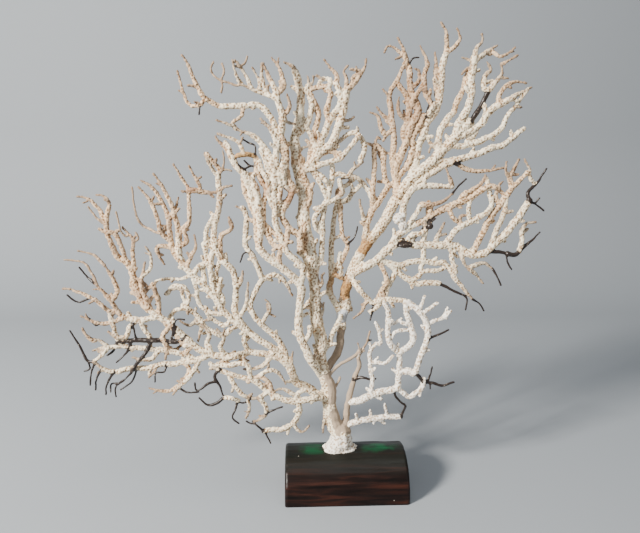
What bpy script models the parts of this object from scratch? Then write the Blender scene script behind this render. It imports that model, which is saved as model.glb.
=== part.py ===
"""A dried sea fan standing in a half-round wooden block, in metres, +Z up.

The fan is modelled close to one plane, as it grew. Each bough is a closed solid of its own,
split from its parent at a main fork, and lies in a layer of its own, so boughs cross without touching.
"""
import bpy
import bmesh
from math import cos, pi, sin
from mathutils import Vector
from mathutils.bvhtree import BVHTree

MM = 0.001

# The half-round block: its length, depth, height, and the width of its worn edges.
BLOCK_LENGTH = 100.0
BLOCK_DEPTH = 67.0
BLOCK_HEIGHT = 34.0
BLOCK_WEAR = 1.2
BLOCK_STEPS = 18

# The flared foot of the fan on the block's crest: height, width and depth of each ring.
FOOT_CENTRE_X = -5.0
FOOT_RINGS = ((30, 29, 20), (34, 28.5, 18.5), (36.5, 21, 15), (40.5, 15.5, 12.5), (45, 12, 11))
FOOT_SIDES = 12

# Where the fan is looked at from. A bough set before or behind the middle plane is slid
# along the line of sight, so its outline stays where it was read.
EYE = Vector((-37.5, -450.0, 266.0))

# Room between neighbouring boughs, and the length over which a branch changes depth.
CLEARANCE = 0.35
RAMP = 16.0
JOIN_REACH = 7.0
END_REACH = 3.6
MIN_TWIG = 2.9
FULLNESS = 1.1
CHORD = 2.2

# How often a bough is tried again, and how much fuller it is each time.
TRIES = 6
SWELL = 0.006

# How far the corners of a prism stand out from its circle, for each number of sides.
CORNER = {3: 1.3, 4: 1.14, 5: 1.09, 6: 1.06}

# Each bough: the bough that it springs from, its depth in millimetres, its colour and roughness.
BOUGHS = {
    "holdfast": (None, 0.0, (0.56, 0.46, 0.34), 0.8),
    "centre_bough": ("holdfast", 0.0, (0.78, 0.7, 0.58), 0.9),
    "inner_left_bough": ("holdfast", -9.0, (0.74, 0.63, 0.5), 0.9),
    "left_bough": ("holdfast", 9.0, (0.76, 0.67, 0.55), 0.9),
    "far_left_bough": ("left_bough", 0.0, (0.68, 0.56, 0.44), 0.9),
    "low_left_bough": ("holdfast", -9.0, (0.75, 0.67, 0.55), 0.9),
    "right_bough": ("holdfast", 9.0, (0.77, 0.68, 0.55), 0.9),
    "outer_right_bough": ("right_bough", 0.0, (0.8, 0.73, 0.62), 0.9),
    "low_right_bough": ("holdfast", -9.0, (0.78, 0.72, 0.62), 0.9),
    "lowest_right_bough": ("holdfast", -3.0, (0.78, 0.72, 0.62), 0.9),
}

# The routes of the branches, chosen by eye, one to a line: the width at the base, the width at
# the tip, the surface, and points (x, z) in millimetres on the fan's middle plane.
ROUTES = {
    "holdfast": """
        11 8 smooth : -5,36 -5,42 -6,50 -9,60 -12,70 -12,80 -13,90 -17,99
        6.5 3.5 smooth : -4,46 -1,53 1,60 2,70 3.5,80 6,90 8.5,98 11.3,105 10,112
        2.2 1.6 dun : 11,112 12.6,116 17,125 19.5,134
        3 2.2 cream : -12,72 -16,68 -17,60 -18,52 -18.5,47
        3.4 2.6 smooth : 7,93 13,94.5 22,92.5 25,93.5
        3.2 2.4 smooth : -14,96 -8,103 -3,107 3,110 8,114 11,118
        2.6 2.2 smooth : -13,84 -9,86 -5.5,92 -4.5,95
        """,
    "centre_bough": """
        8.5 6.5 cream : -17,99 -20,106 -21,115 -20,125 -22,135 -24,145 -25,155 -25,171 -28,186 -28,199 -31.5,213 -33,229 -35,250 -38.3,267 -40.6,284
        6 4.5 cream : -40.6,284 -38,296 -36,303 -35.6,314 -36,322 -39.4,335
        4 2 cream : -39.4,335 -41.5,339 -47.8,342
        4.6 3.6 cream : -29,186 -31.5,192 -34,207 -36.4,221 -36.4,232 -35.2,243
        4 3.6 tan : -32,234 -29,239 -28,247 -31.5,253 -34.4,262 -36.4,273
        4 3.2 cream : -40,288 -35.6,292 -32,295 -28.5,304 -27,311 -29,319 -31.4,322 -30,325
        3 2 cream : -30,325 -29.5,328 -30.6,332
        3 2 cream : -30,325 -26.5,328 -26,332
        3 2.4 cream : -38.2,276 -34.4,279 -28,281.5
        3 2.4 cream : -24.8,167 -22,170 -19.5,175 -20,179 -17.8,182
        3 2 cream : -22,145 -19,150 -18,158
        3.8 3.4 cream : -27.5,184 -23,188 -20,194 -19.5,204 -19,214 -19,225 -17.5,235 -15,241 -13,250 -12,258 -11.5,266
        4 3 cream : -18,234 -21,233.5 -25,233
        3.4 3 cream : -15,241 -19,250 -23,257 -28,263 -34,266
        3.8 3 cream : -36,262 -27,264 -20,267 -12,269 -5,272 1,279 6,285 9,289
        3 2.4 cream : -12,258 -6,260 0,258 4,263 8,266 12,269
        3.4 2.8 cream : 10,270 13,276 13,282 9,289 5,291 -1,289 -8,283 -13,280
        5.4 4.6 cream : -36,261 -30,266 -24,272 -17,278 -12,283 -9,290 -6,298 -3.5,307 -2,315 -1,322
        4 2.2 tan : -1,322 4,327 9,333 12.5,339 13.5,345
        3 1.8 tan : -1,322 -1,330 -3,336 0,340
        2.4 1.8 tan : 3,326 4,331 9,336 2,337
        3 2.4 cream : -5,300 -1,300 3,301 5,303
        4.6 3.4 cream : -27,269 -23,278 -20,285 -17,292 -14,299 -11,304 -7,309 -5,316 -6,322 -9,327
        3 2 tan : -9,327 -8,333 -13,338 -18,344
        3.6 3 tan : -14,299 -16,307 -14,314 -12.5,319 -16,324 -22,324 -27,323
        3 2.4 cream : -14,325 -13,330 -19,330 -22,326
        4.2 3.2 tan : -29,267 -27,280 -25,288 -23.5,297 -22,305 -25,313 -28,319
        """,
    "inner_left_bough": """
        5.4 4.6 cream : -19.5,97 -24,104 -29,111 -33,120 -37,131 -38,142 -37,158 -35.5,169 -39.7,176 -49,185 -61,194.5 -69,203
        3.6 3 tan : -69,203 -70.5,212 -71,226 -74.4,235 -78.5,244 -80.3,258
        4 4.4 cream : -69,203 -67.4,217 -68.5,232 -69.6,246 -74.7,255 -83.4,264 -88,272
        4 2.2 tan : -88,272 -92.5,279 -98,284.5 -100.4,288.2
        2.6 2 cream : -88,272 -90,280 -93,284
        3.4 3 cream : -34,125 -30,131 -29,138
        2.6 2.2 cream : -28,110 -24,116
        3.4 3 tan : -52.8,188.5 -53,196 -51,203 -47,208 -46.5,216
        3.5 3 tan : -57,205 -62,214 -65,224 -64.5,238 -62.8,248 -67,256 -69.5,263 -70.3,273
        3.4 3 ochre : -70.3,273 -76,274.6 -84,273.7
        2.6 1.6 cream : -79.2,275 -81.4,281 -86,286 -93,288 -98.6,290
        1.8 1.2 bare : -70.3,273 -70.3,281 -75.7,283.3 -80,286
        4.2 4 cream : -36.4,173 -34,185 -40.5,193 -46.6,199.6 -52.3,212.4 -56,225 -56,234 -56.5,246 -56,258 -57.6,269.5
        3.6 2.6 cream : -57.6,269.5 -61.8,278 -68.6,286 -75,290.5 -84,293
        2.4 2 cream : -84,293 -89,297 -99,300
        3.4 3 cream : -57,252 -60.4,264 -63.7,273 -66,278
        4.2 4 tan : -36.5,200 -37,212 -44,216.6 -48.6,224 -50,230 -46.5,238 -43,244.5 -42,250 -45.3,256 -46.8,266 -46.8,278 -51,289
        3.6 3.2 cream : -49,228 -52.6,238 -51.5,252 -54,267 -54.2,278 -51,289
        3.2 2.8 tan : -47.3,266 -49.8,277 -50.7,286
        4.4 3.2 cream : -51,289 -49,300 -51.5,311 -54.5,321.5 -57,327
        3.2 2 bare : -57,327 -60,332.5 -63.2,341
        4 3.2 cream : -51,289 -55.3,295 -58.7,303 -66.5,311 -78.7,310.4 -97,310
        3.2 2 tan : -97,310 -107.5,316.7 -113.2,325.3 -118,338 -123.1,346.5
        2.4 1.6 tan : -107,316 -111,311 -118.4,311 -123,319.7 -126.8,335.5
        1.8 1.4 bare : -111,310.5 -112,304
        2.4 2 tan : -78.7,310 -80.3,303 -86,299.3 -86,296 -83,293
        3.2 2.8 cream : -50,304 -46,299 -40,297
        3.4 1.8 tan : -54,319 -48.5,324 -49,331 -52,339 -57.2,345.3
        3 2.4 cream : -53,315 -61,318.5 -70,322 -78.5,325
        2.4 1.5 cream : -78.5,325 -83.2,332 -86,343
        2.6 1.6 cream : -67,321 -66,327 -69,334 -71.5,338
        2.6 1.6 cream : -72,323 -76,331 -81,339 -84,343
        2.6 1.6 cream : -59,318 -63,325 -65,333 -64.2,341
        1.6 1.2 bare : -81,339 -77,341 -75,346
        """,
    "left_bough": """
        6 5 cream : -14,76 -24,81 -32,87 -40,91 -44,99 -47,106 -53,112
        4.6 4.2 cream : -53,112 -61,115 -70,116 -79,118
        4.4 4.2 cream : -51,111 -55,118 -64,124 -72,129 -80,136 -88,142 -96,149 -101,157 -106,165 -114,174 -122,182
        4.2 4.2 cream : -122,182 -128,189 -131,198 -131,207 -131,215
        3.4 2 tan : -131,215 -133,226 -136,238 -142,250 -148,260
        3.2 1.8 tan : -131,213 -127,219 -122.5,223 -122,235 -122,247 -127,257 -133,267
        3.4 2.8 tan : -122,248 -117,247 -110,246 -99,246
        2.6 2 tan : -112,247 -116,256 -121,266
        4 2.2 tan : -127,187 -134,197 -137,208 -138,219 -139,230 -144,241 -151,251 -158,255
        3.2 2 tan : -137,208 -144,214 -146,224 -149,233 -154,243 -160,250
        3 2.6 tan : -136,203 -143,204 -148,203 -146,196 -143,190
        2.4 1.4 bare : -144,214 -152,217 -159,221 -163,230 -165,250
        3 1.8 tan : -126,187 -122,196 -118,204 -119,213
        2.2 1.8 cream : -123,181 -132,178 -143,178 -151,176 -152,170 -148,163 -148,152
        3.4 3 cream : -120,181 -117,188 -111,190 -106,190
        4.2 4 cream : -73,130 -80,137 -86,145 -89,153 -88,165 -88,177 -91,187 -98,193 -103,202
        4 3.6 cream : -103,202 -104,212 -103,221 -100,230 -98.5,240 -99,250 -99,260
        2.6 2 cream : -99,257 -103,263 -107,270 -109,276
        2.6 2 cream : -99,260 -94,263 -89,262
        3 2.4 cream : -98.5,247 -94,250 -89,251
        3.2 2.8 cream : -103,202 -109,206 -110,213 -108,220 -103,228
        3.4 2.8 tan : -99,194 -99,204 -98,212 -92,216 -89,220 -92,227
        3.8 3.4 cream : -99,152 -103,162 -106,174 -107,186 -106,196 -104,203
        3.2 2.8 cream : -103,163 -101,172 -103,182 -100,192
        2.8 2 cream : -86,146 -82,153 -79,163 -78,175
        3.8 3.6 cream : -47,107 -50,119 -57,130 -65,138 -73,147 -77,156 -74,164 -70,172 -65,178 -57,181
        3.2 2.8 cream : -57,181 -51,178 -46,170 -43,164
        3 2.2 cream : -67,141 -64,148 -61,152 -62,158 -65,161
        2.6 2 cream : -63,150 -57,147
        3.8 3.4 cream : -67,177 -70,187 -74,196 -79,204 -79,215 -78,226 -81,234
        2.8 2.4 cream : -80,233 -86,235
        2 1.6 bare : -77,199 -81,198 -84,191
        3.6 3.2 cream : -79,118 -82,127 -80,136
        3.4 3 cream : -84,141 -92,137 -99,132 -106,134 -113,139 -117,146 -124,152 -130,157
        3 2.4 cream : -113,139 -120,142 -126,140 -133,144
        3.2 2.6 cream : -97,150 -106,150 -113,154 -118,160 -119,170 -121,178
        2.8 2.2 cream : -125,153 -129,162 -131,170 -139,170 -144,166
        2.6 2 cream : -42,100 -44,109 -43,117
        """,
    "far_left_bough": """
        4.6 4.4 cream : -77,118 -87,115 -97,113 -107,115 -116,119 -124,125 -132,133 -140,141 -149,148 -157,153
        4.2 4 tan : -157,153 -163,161 -166,172 -168,183 -171,191 -178,195
        3.8 2 tan : -178,195 -183,206 -186,217 -185,228 -182.5,237 -186,243 -192,244
        3 1.8 tan : -186,219 -189,229 -194,238 -200,242 -207,243
        2.4 1.4 bare : -187,221 -193,226 -199,235
        3.2 2.6 tan : -186,216 -180,214 -176,206 -173,196 -171,188
        3.6 2 tan : -160,157 -165,166 -169,173 -167,186 -167,200 -166,208 -170,215 -174,219
        1.8 1.2 bare : -172,212 -176,218 -178,231
        2.4 1.8 bare : -166,208 -162,210 -164,215
        3.4 2.4 tan : -155,152 -158,162 -162,172 -160,183 -158,192
        2.4 1.6 cream : -160,180 -154,186 -153,196 -157,204
        4 3.4 cream : -149,148 -160,146 -171,146 -179,149
        3.4 2.2 tan : -179,149 -185,158 -190,166 -198,175
        2.6 1.6 bare : -198,175 -205,183 -209,188
        3.2 2.6 tan : -186,160 -181,169 -184,180 -189,189
        2.8 1.8 tan : -189,189 -197,197 -209,201
        2.2 1.4 bare : -196,173 -200,184 -206,192 -220,194
        3 1.8 tan : -180,151 -190,154 -197,161 -206,166 -215,170 -223,171
        2 1.4 bare : -203,163 -212,160 -220,166
        3.2 1.8 tan : -176,147 -188,143 -199,144 -211,149
        1.8 1.4 bare : -196,144 -199,141 -204,147
        4 3.6 cream : -110,116 -119,112 -129,110 -140,108 -150,108 -159,105 -169,105
        3.6 2.8 cream : -169,105 -179,104 -187,102 -196,105 -203,111
        2.8 1.6 bare : -203,111 -208,112 -213,124 -220,137
        2.2 1.4 bare : -202,110 -205,103 -206,97 -207,91
        2 1.4 bare : -208,111 -206,105 -211,103
        2.4 1.4 bare : -197,105 -201,97 -203,87
        2.6 1.4 bare : -187,102 -193,93 -195,83
        3.6 3.2 cream : -122,112 -131,116 -142,119 -154,121 -167,122 -180,124
        3.2 2.4 cream : -180,124 -190,122 -196,116 -203,111
        4.4 4 bare : -133,127.5 -144,127 -156,128.5 -169,128 -183,127.5
        2.8 1.8 bare : -183,127.5 -187,120 -192,116
        2.6 2 bare : -168,128 -169,135 -170.5,142
        2.8 1.6 bare : -172,128 -176,119 -185,110
        3.6 2.6 bare : -156,128 -161,119 -168,110 -173,102 -180,95
        2.4 1.4 bare : -180,95 -187,89 -187,81
        2 1.4 bare : -183,92 -190,92 -191,85
        2.4 1.6 bare : -141,128 -138,136 -136,145 -129,145
        3.4 2.8 tan : -131,117 -125,124 -133,127.5
        3.4 2.8 cream : -180,124 -184,133 -186,142 -188,151
        3.2 2.6 tan : -149,148 -143,139 -147,131 -144,122 -146,112
        3.2 2.6 cream : -165,146 -162,138 -157,131 -158,121
        3.4 2 cream : -118,112 -122,104 -129,95 -136,88 -141,82
        3 2 tan : -131,110 -127,103 -131,95 -137,89 -146,85 -160,88
        2.4 1.6 bare : -137,89 -130,84 -120,84
        2.6 1.6 tan : -152,107 -156,101 -160,97
        2 1.4 bare : -169,104 -172,96 -176,91 -183,87
        2 1.4 bare : -145,108 -147,102 -154,101 -155,93
        """,
    "low_left_bough": """
        4.4 4 cream : -12,78 -22,77 -32,76 -42,75 -52,77 -60,81 -67,87 -74,93
        3.6 3 cream : -74,93 -84,96 -94,99 -102,103 -110,108
        3.2 2.8 cream : -70,90 -77,96 -79,106 -88,108 -96,106 -104,108
        3 2.4 cream : -74,93 -68,99 -60,102 -54,98 -49,90
        3.2 2.8 cream : -96,100 -91,90 -85,82 -78,78 -71,78
        3.2 2.6 cream : -71,78 -66,71 -66,64 -71,59 -76,58
        3.6 3 cream : -63,84 -68,80 -71,78
        2.6 1.8 bare : -66,64 -60,67.5 -52,70
        3.8 3.4 cream : -40,75 -38,67 -41,59 -46,53 -54,50 -62,50 -68,49
        2.2 1.6 bare : -68,49 -73,54 -77,58
        2 1.4 bare : -67,49 -65,44 -62,38
        2 1.4 bare : -74,56 -79,56 -82,58
        2.4 1.8 cream : -42,56 -40,50 -35,48 -30,53
        2.8 2.2 bare : -78,78 -84,74 -89,75
        2.4 1.6 bare : -89,75 -91,68 -93,61 -88,56
        2.2 1.6 cream : -80,76 -79,69 -82,61
        3 2.2 bare : -102,103 -107,97 -103,89 -100,79
        2.8 2.6 cream : -100,79 -93,78 -88,76
        3.2 2.2 bare : -100,79 -107,74 -114,73 -120,79
        2.6 1.8 bare : -105,93 -112,91 -121,85 -123,92
        3 2.4 cream : -36,76 -44,82 -52,86 -58,84
        """,
    "right_bough": """
        6.5 7 smooth : -16,101 -12,108 -7,115 -4.5,126 -4,136
        7 7 cream : -4,136 -3.5,147 0,154 -1,162 0,171 2,178 6,187 12,198 19,209 27,219 32,227 36,236
        7 6 cream : 36,236 42,246 50,256 60,264 69,273 77,281 85,290 94,299
        4.4 3.2 cream : -4,147 -8,156 -12,164 -13.5,171 -12,180 -12.5,192 -12,204 -11,217 -9.5,230 -7,238
        3.6 3 cream : -7,238 0,240 5,246 10,251
        3.2 2.8 tan : -5,238 -5,227 -4,217 -3,210 1,205 -2,196 -6,187 -11,183
        2.2 1.6 bare : 1,205 6,211 8.5,219
        3.2 2.4 ochre : -10,182 -4,178 1,177
        4.6 3.6 ochre : 14,201 15,212 16,223 21,233 27,242 33,250 40,255
        3.6 3.2 tan : 20,232 20,244 20.5,256 21,268 20.5,279
        3.6 3.2 tan : 33,250 29,258 28,267 28,275 24,281 20,281
        2.6 2 tan : 20,281 14,283 11,280
        2.4 1.8 tan : 21,281 23,288 25,286
        3.2 2.8 cream : 20,240 15,249 9,256 3,258 -5,256
        3 2.4 cream : 14,225 11,233 10,240
        5.2 4.6 tan : 39,242 38,254 37,264 41,273 45,283 47,292 51,300 54,307
        4.4 3.6 tan : 54,307 52,314 48,321 47,330 46,339
        3.2 1.8 tan : 46,339 43,347 39,356 37,360
        2.4 1.6 tan : 44,344 38,350 30,354 27,349
        2.4 1.6 bare : 46,340 48,345 53,346
        4.2 3.2 tan : 37,262 35,272 36,284 35,295 33,305 31.5,315 33,323
        3 2 tan : 33,323 38,331 41,339 44,345
        2.4 1.8 tan : 32,316 29,320 26,323
        4.2 3.4 tan : 45,283 43,291 46,300 47,309 45,318 40,324 38,327
        3 2.4 tan : 46,300 40,304 38,311 39,317
        3 2.2 tan : 47,324 53,328 54,336 50,338
        5.4 4.4 cream : 49,255 52,266 54,277 57,286 60,294 60,300
        3 3 bare : 60,300 61,306 64,312
        4.6 4 cream : 60,298 65,304 69,312 70.5,322 70.5,332 71.5,342 74,350
        3.2 1.8 tan : 74,350 74,358 73,365 69,371
        3 1.8 tan : 74,350 80,354 84,360 81,367
        3.6 2.4 tan : 69,314 67,322 66,332 66,342 65,350
        3.6 3 tan : 64,312 60,319 58,326 58,334 60,341
        3 1.8 tan : 60,341 57,348 54,354
        3.2 2.6 tan : 54,307 49,313 53,320 57,327
        4.6 4 cream : 71,275 70,284 72,293 76,301 81,306
        4 3 tan : 81,306 84,315 88,324 89,332
        2.8 2.2 cream : 70,284 65,281 63,276
        2.6 2 cream : 67,280 63,284 62,289
        5 4.4 cream : 83,288 85,297 89,304 93,312 94.5,321 93,331 95,341 95,346
        3.4 2 cream : 95,346 97,353 100.5,358 100,363
        2.6 2 cream : 95,341 90,345 86,346
        2 1.4 bare : 89,332 91,339 86,334
        3.6 2.4 cream : 95,343 101,348 107,352 112,355
        2.4 1.6 tan : 107,352 114,347 120,349 126,354
        4.4 4 bare : 94,299 99,306 104,315 107,322
        3.4 2.4 cream : 107,322 112,328 117,334 116,341
        2.4 1.4 bare : 116,341 121,344 128,348
        3.6 2.8 cream : 107,322 103,325 104,333 108,338 105,343
        4.4 4.2 cream : 80,284 89,289 97,293 103,298 107,305 113,310 122,315
        3.8 2 cream : 122,315 131,320 140,325
        3.2 2 tan : 116,312 116,319 121,326 128,329 136,328
        4.2 3.4 cream : 79,282 88,281 97,283 107,287 115,291 120,296
        3.2 2 cream : 120,296 122,302 127,309 132,316 138,324
        4.6 4 cream : 66,270 78,269 90,272 101,275 110,279 120,281
        3.8 3 cream : 120,281 127,286 132,291 136,294
        3.4 1.8 tan : 82,270 89,265 97,262 106,262 115,263 123,264.5
        """,
    "outer_right_bough": """
        5.6 5.4 cream : 3,181 10,185 18,188 25,193 31,199 37,204
        5.2 5 cream : 37,204 46,207 56,204 67,204 78,204 88,203
        5 4.6 cream : 88,203 95,198 104,196 112,198 118,205 126,213 133,222 139,231 144,239
        3.6 1.6 bare : 144,239 142,245 148,252 153,259 156,264
        2.6 1.6 cream : 147,252 143,257 142,264 138,271
        4.4 4 cream : 34,202 39,211 47,216 54,221
        4.4 4.6 tan : 54,221 60,223 69,229 79,234 89,238 97,241
        3.8 3 tan : 97,241 104,246 111,250 119,249
        3.4 2.6 tan : 88,238 92,244 100,248 105,253 108,259
        3.4 3 cream : 46,217 53,226 58,236
        3.6 2.2 tan : 58,236 67,236 75,238 82,244
        2.2 1.4 bare : 82,244 88,251 93,256
        4.4 4.2 cream : 44,218 44,229 46,240 52,249
        4 3.4 cream : 52,249 62,251 72,250 82,250
        3 2.4 tan : 82,250 80,257 77,264
        3.4 3 cream : 60,205 62,213 62,222
        3.4 2.4 cream : 70,205 73,213 77,222
        4 3.6 cream : 79,205 84,213 91,219 99,223 110,229
        3.2 2.8 tan : 90,219 89,226 95,228
        3 2.6 cream : 97,223 96,232 97,240
        4 3.8 tan : 101,198 105,207 109,216 114,226 120,235 125,242
        3.8 2.4 tan : 125,242 129,249 127,257 130,264 134,271
        2.8 2 tan : 127,257 124,262 124,269
        3.4 2.6 tan : 129,249 135,254 141,261
        3.6 3 cream : 114,200 118,212 122,222 125,232 125,242
        3 2.4 tan : 120,235 117,243 119,251 122,254
        2.6 2 tan : 120,247 124,243
        3.4 3 bare : 112,199 120,198.5 128,197
        4.4 2 bare : 128,197 135,196 141,201 148,208 154,214
        2 1.2 bare : 128,197 129,190 133,184
        3.4 2.6 cream : 138,198 140,208 139,215 143,221 150,222
        2.6 1.4 bare : 144,238 149,236 156,231
        2 1.4 bare : 148,236 152,241
        4 3.6 cream : 24,192 33,190 41,188 50,190 60,191 70,190 78,190
        3.4 2.6 cream : 78,190 83,184 89,175 96,167 102,160
        2.4 1.4 bare : 102,160 108,156 112,150
        3.4 3 cream : 61,204 61,196 61,189
        3 2.6 cream : 61,190 60,184 67,183 75,184 80,187
        3.4 2.8 cream : 87,203 84,195 86,188 88,182
        3.4 2.8 cream : 91,200 93,191 98,185
        3 1.6 cream : 98,185 104,180 110,173
        3.2 2.8 cream : 98,185 104,188 111,189 117,185
        2.4 1.4 bare : 117,185 121,179 125,171
        4.2 3.6 cream : 33,190 41,183 49,177 57,173 66,174 75,173
        3 1.6 bare : 75,173 84,168 93,164 98,160 97,151
        3.4 2.8 cream : 53,176 59,180 60,184
        3.8 3.4 cream : 40,184 36,175 31,168 26,161 22,157
        3.2 2.8 tan : 25,191 30,183 32,175 28,167 25,160
        3.6 3.2 cream : 3,181 8,172 14,164 20,158
        3.8 3.4 cream : 22,157 30,160 38,160 47,159
        2 1.4 bare : 22,157 21,150 19.5,143
        2.6 1.8 tan : 17,160 15,155 12,150 6,145
        """,
    "low_right_bough": """
        4.8 4.4 smooth : 2.5,73 12,75 20,78 28,81.5 36,83 43,85
        4.4 3.6 cream : 43,85 44,97 44.5,110 44,116
        4 3.2 cream : 44,116 38,121 34,130 34.5,141 34,151 31,157
        4.2 3.4 cream : 44,116 52,121 55,128 52,140 49,150 48,158
        4.6 3.8 cream : 45,99 52,99.5 57,98 60,107 64,118 67,130 64,144 56,153 50,158
        2.8 2 cream : 65,138 72,142 79,144 85,150
        2.4 1.6 cream : 77,143 80,147 82,153
        2.6 2 cream : 61,148 68,153 74,157
        2.4 1.6 cream : 59,150 61,156 63.5,163
        2.6 1.6 bare : 67,127 75,130 84,134.5
        2.6 2.2 cream : 36,126 42,134 52,134.5
        2.2 1.8 cream : 35,139 40,141 45,144
        3.6 3 cream : 64,94 64,86 58,80 53,77 48,81 43,85
        3.4 2 bare : 57,98 61,95 65,90 72,89 80,87 90,89.5
        2 1.4 bare : 68,90 70,97 71.5,103
        1.8 1.4 bare : 70,89 70.5,84
        2.4 1.8 bare : 40,83 42,77 47,72 50,70 49,65 46.5,60
        1.8 1.6 bare : 66,125 64,118 61,111
        3 2.4 smooth : 20,78 22.5,93 20.5,100 20,108 20,116 24,123 28,124 27,133 24,141
        2.6 2 smooth : 20,108 26,107 33,107 39,113
        """,
    "lowest_right_bough": """
        4.4 3.6 cream : 0,52 12,57 20,58 30,59 37,60 46.5,60
        2.6 2 bare : 46.5,60 49,65 50.5,69
        2.4 1.8 cream : 10,57 9,63
        2.4 1.8 cream : 22,58 20.5,66
        2.4 1.8 cream : 36,60 34,65 33,71
        2.4 1.8 cream : 24,58 24,54
        """,
}


def parse(line):
    """Reads one line of the table into widths, surface and points."""
    widths, route = line.split(":")
    base, tip, surface = widths.split()
    points = []
    for pair in route.split():
        x, z = pair.split(",")
        points.append((float(x), float(z)))
    return float(base), float(tip), surface, points


def smooth_step(t):
    t = min(max(t, 0.0), 1.0)
    return t * t * (3.0 - 2.0 * t)


def nearest(point, lines):
    """The closest place on earlier centre lines, as (distance, x, depth, z)."""
    best = None
    for line in lines:
        for a, b in zip(line, line[1:]):
            dx, dz = b[0] - a[0], b[2] - a[2]
            length = dx * dx + dz * dz or 1.0
            t = ((point[0] - a[0]) * dx + (point[1] - a[2]) * dz) / length
            t = min(max(t, 0.0), 1.0)
            x, y, z = (a[k] + (b[k] - a[k]) * t for k in range(3))
            gap = ((point[0] - x) ** 2 + (point[1] - z) ** 2) ** 0.5
            if best is None or gap < best[0]:
                best = (gap, x, y, z)
    return best


def lay_out():
    """Gives every branch its centre line (x, depth, z) and its widths, bough by bough."""
    laid = {}
    for name, (parent, depth, _, _) in BOUGHS.items():
        lines = []
        branches = []
        for index, text in enumerate(ROUTES[name].strip().splitlines()):
            base, tip, surface, points = parse(text)
            start_depth = depth
            if index == 0:
                found = nearest(points[0], [b[0] for b in laid[parent]]) if parent else None
            else:
                found = nearest(points[0], lines)
            if found and found[0] < JOIN_REACH:
                if found[0] > 1.0:
                    points.insert(0, (found[1], found[3]))
                else:
                    points[0] = (found[1], found[3])
                start_depth = found[2]
            own_depth = depth + (0.0, 1.4, -1.2, 0.7, -1.8)[index % 5]
            end = nearest(points[-1], lines) if index else None
            end_depth = own_depth
            if end and end[0] < END_REACH:
                end_depth = end[2]
            total = sum((Vector(b) - Vector(a)).length for a, b in zip(points, points[1:]))
            ramp_in = min(RAMP, total * 0.55)
            ramp_out = min(RAMP, total * 0.45)
            # Long steps are split, so the change of depth is gradual.
            fine = [points[0]]
            for a, b in zip(points, points[1:]):
                steps = max(1, round((Vector(b) - Vector(a)).length / 7.0))
                for k in range(1, steps + 1):
                    fine.append((a[0] + (b[0] - a[0]) * k / steps, a[1] + (b[1] - a[1]) * k / steps))
            along = 0.0
            line = []
            widths = []
            for k, (x, z) in enumerate(fine):
                if k:
                    along += (Vector(fine[k]) - Vector(fine[k - 1])).length
                y = start_depth + (own_depth - start_depth) * smooth_step(along / ramp_in)
                y += (end_depth - own_depth) * smooth_step((along - total + ramp_out) / ramp_out)
                line.append((x, y, z))
                widths.append((base + (tip - base) * along / total) * FULLNESS)
            line, widths = thinned([Vector(p) for p in line], widths)
            lines.append(line)
            branches.append((line, widths, surface))
        laid[name] = branches
    return laid


def placed(point):
    """Slides a point to its depth along the line of sight, in millimetres."""
    flat = Vector((point[0], 0.0, point[2]))
    return EYE + (flat - EYE) * ((point[1] - EYE.y) / -EYE.y)


def thinned(points, widths):
    """Leaves out the points that lie close to the chord of their neighbours."""
    keep = [0]
    for k in range(1, len(points) - 1):
        a = points[keep[-1]]
        b = points[k + 1]
        chord = b - a
        t = (points[k] - a).dot(chord) / chord.length_squared
        off = (points[k] - a - chord * t).length
        if off > CHORD or (points[k] - a).length > 24.0:
            keep.append(k)
    keep.append(len(points) - 1)
    return [points[k] for k in keep], [widths[k] for k in keep]


def add_mesh(name, vertices, faces):
    mesh = bpy.data.meshes.new(name)
    mesh.from_pydata(vertices, [], faces)
    thing = bpy.data.objects.new(name, mesh)
    bpy.context.scene.collection.objects.link(thing)
    return thing


def tube(name, line, widths, grow=0.0):
    """A closed tapering tube of few sides with a blunt tip, in metres."""
    points = [placed(p) for p in line]
    sizes = list(widths)
    widest = max(sizes) / FULLNESS
    sides = 6 if widest > 6.9 else 5 if widest > 5.0 else 4 if widest > 4.1 else 3
    tip = (points[-1] - points[-2]).normalized()
    points.append(points[-1] + tip * (sizes[-1] * 0.4 + grow))
    sizes.append(sizes[-1] * 0.45)
    vertices = []
    faces = []
    across = None
    for k, point in enumerate(points):
        before = points[max(k - 1, 0)]
        after = points[min(k + 1, len(points) - 1)]
        ahead = (after - before).normalized()
        if across is None:
            across = ahead.cross(Vector((0.13, 1.0, 0.07))).normalized()
        across = (across - ahead * across.dot(ahead)).normalized()
        other = ahead.cross(across)
        # The flats of a prism lie inside its circle, so the corners stand out a little.
        radius = (sizes[k] / 2.0) * CORNER[sides] + grow * (1.8 if sides == 3 else 1.3)
        for s in range(sides):
            turn = 2.0 * pi * (s + 0.5) / sides
            vertices.append((point + across * cos(turn) * radius + other * sin(turn) * radius) * MM)
        if k:
            low = (k - 1) * sides
            for s in range(sides):
                n = (s + 1) % sides
                faces.append((low + s, low + n, low + sides + n, low + sides + s))
    faces.append(tuple(reversed(range(sides))))
    faces.append(tuple(range(len(vertices) - sides, len(vertices))))
    thing = add_mesh(name, vertices, faces)
    fix_normals(thing.data)
    return thing


def fix_normals(mesh):
    work = bmesh.new()
    work.from_mesh(mesh)
    bmesh.ops.recalc_face_normals(work, faces=work.faces)
    bmesh.ops.triangulate(work, faces=work.faces)
    work.to_mesh(mesh)
    work.free()


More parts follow.
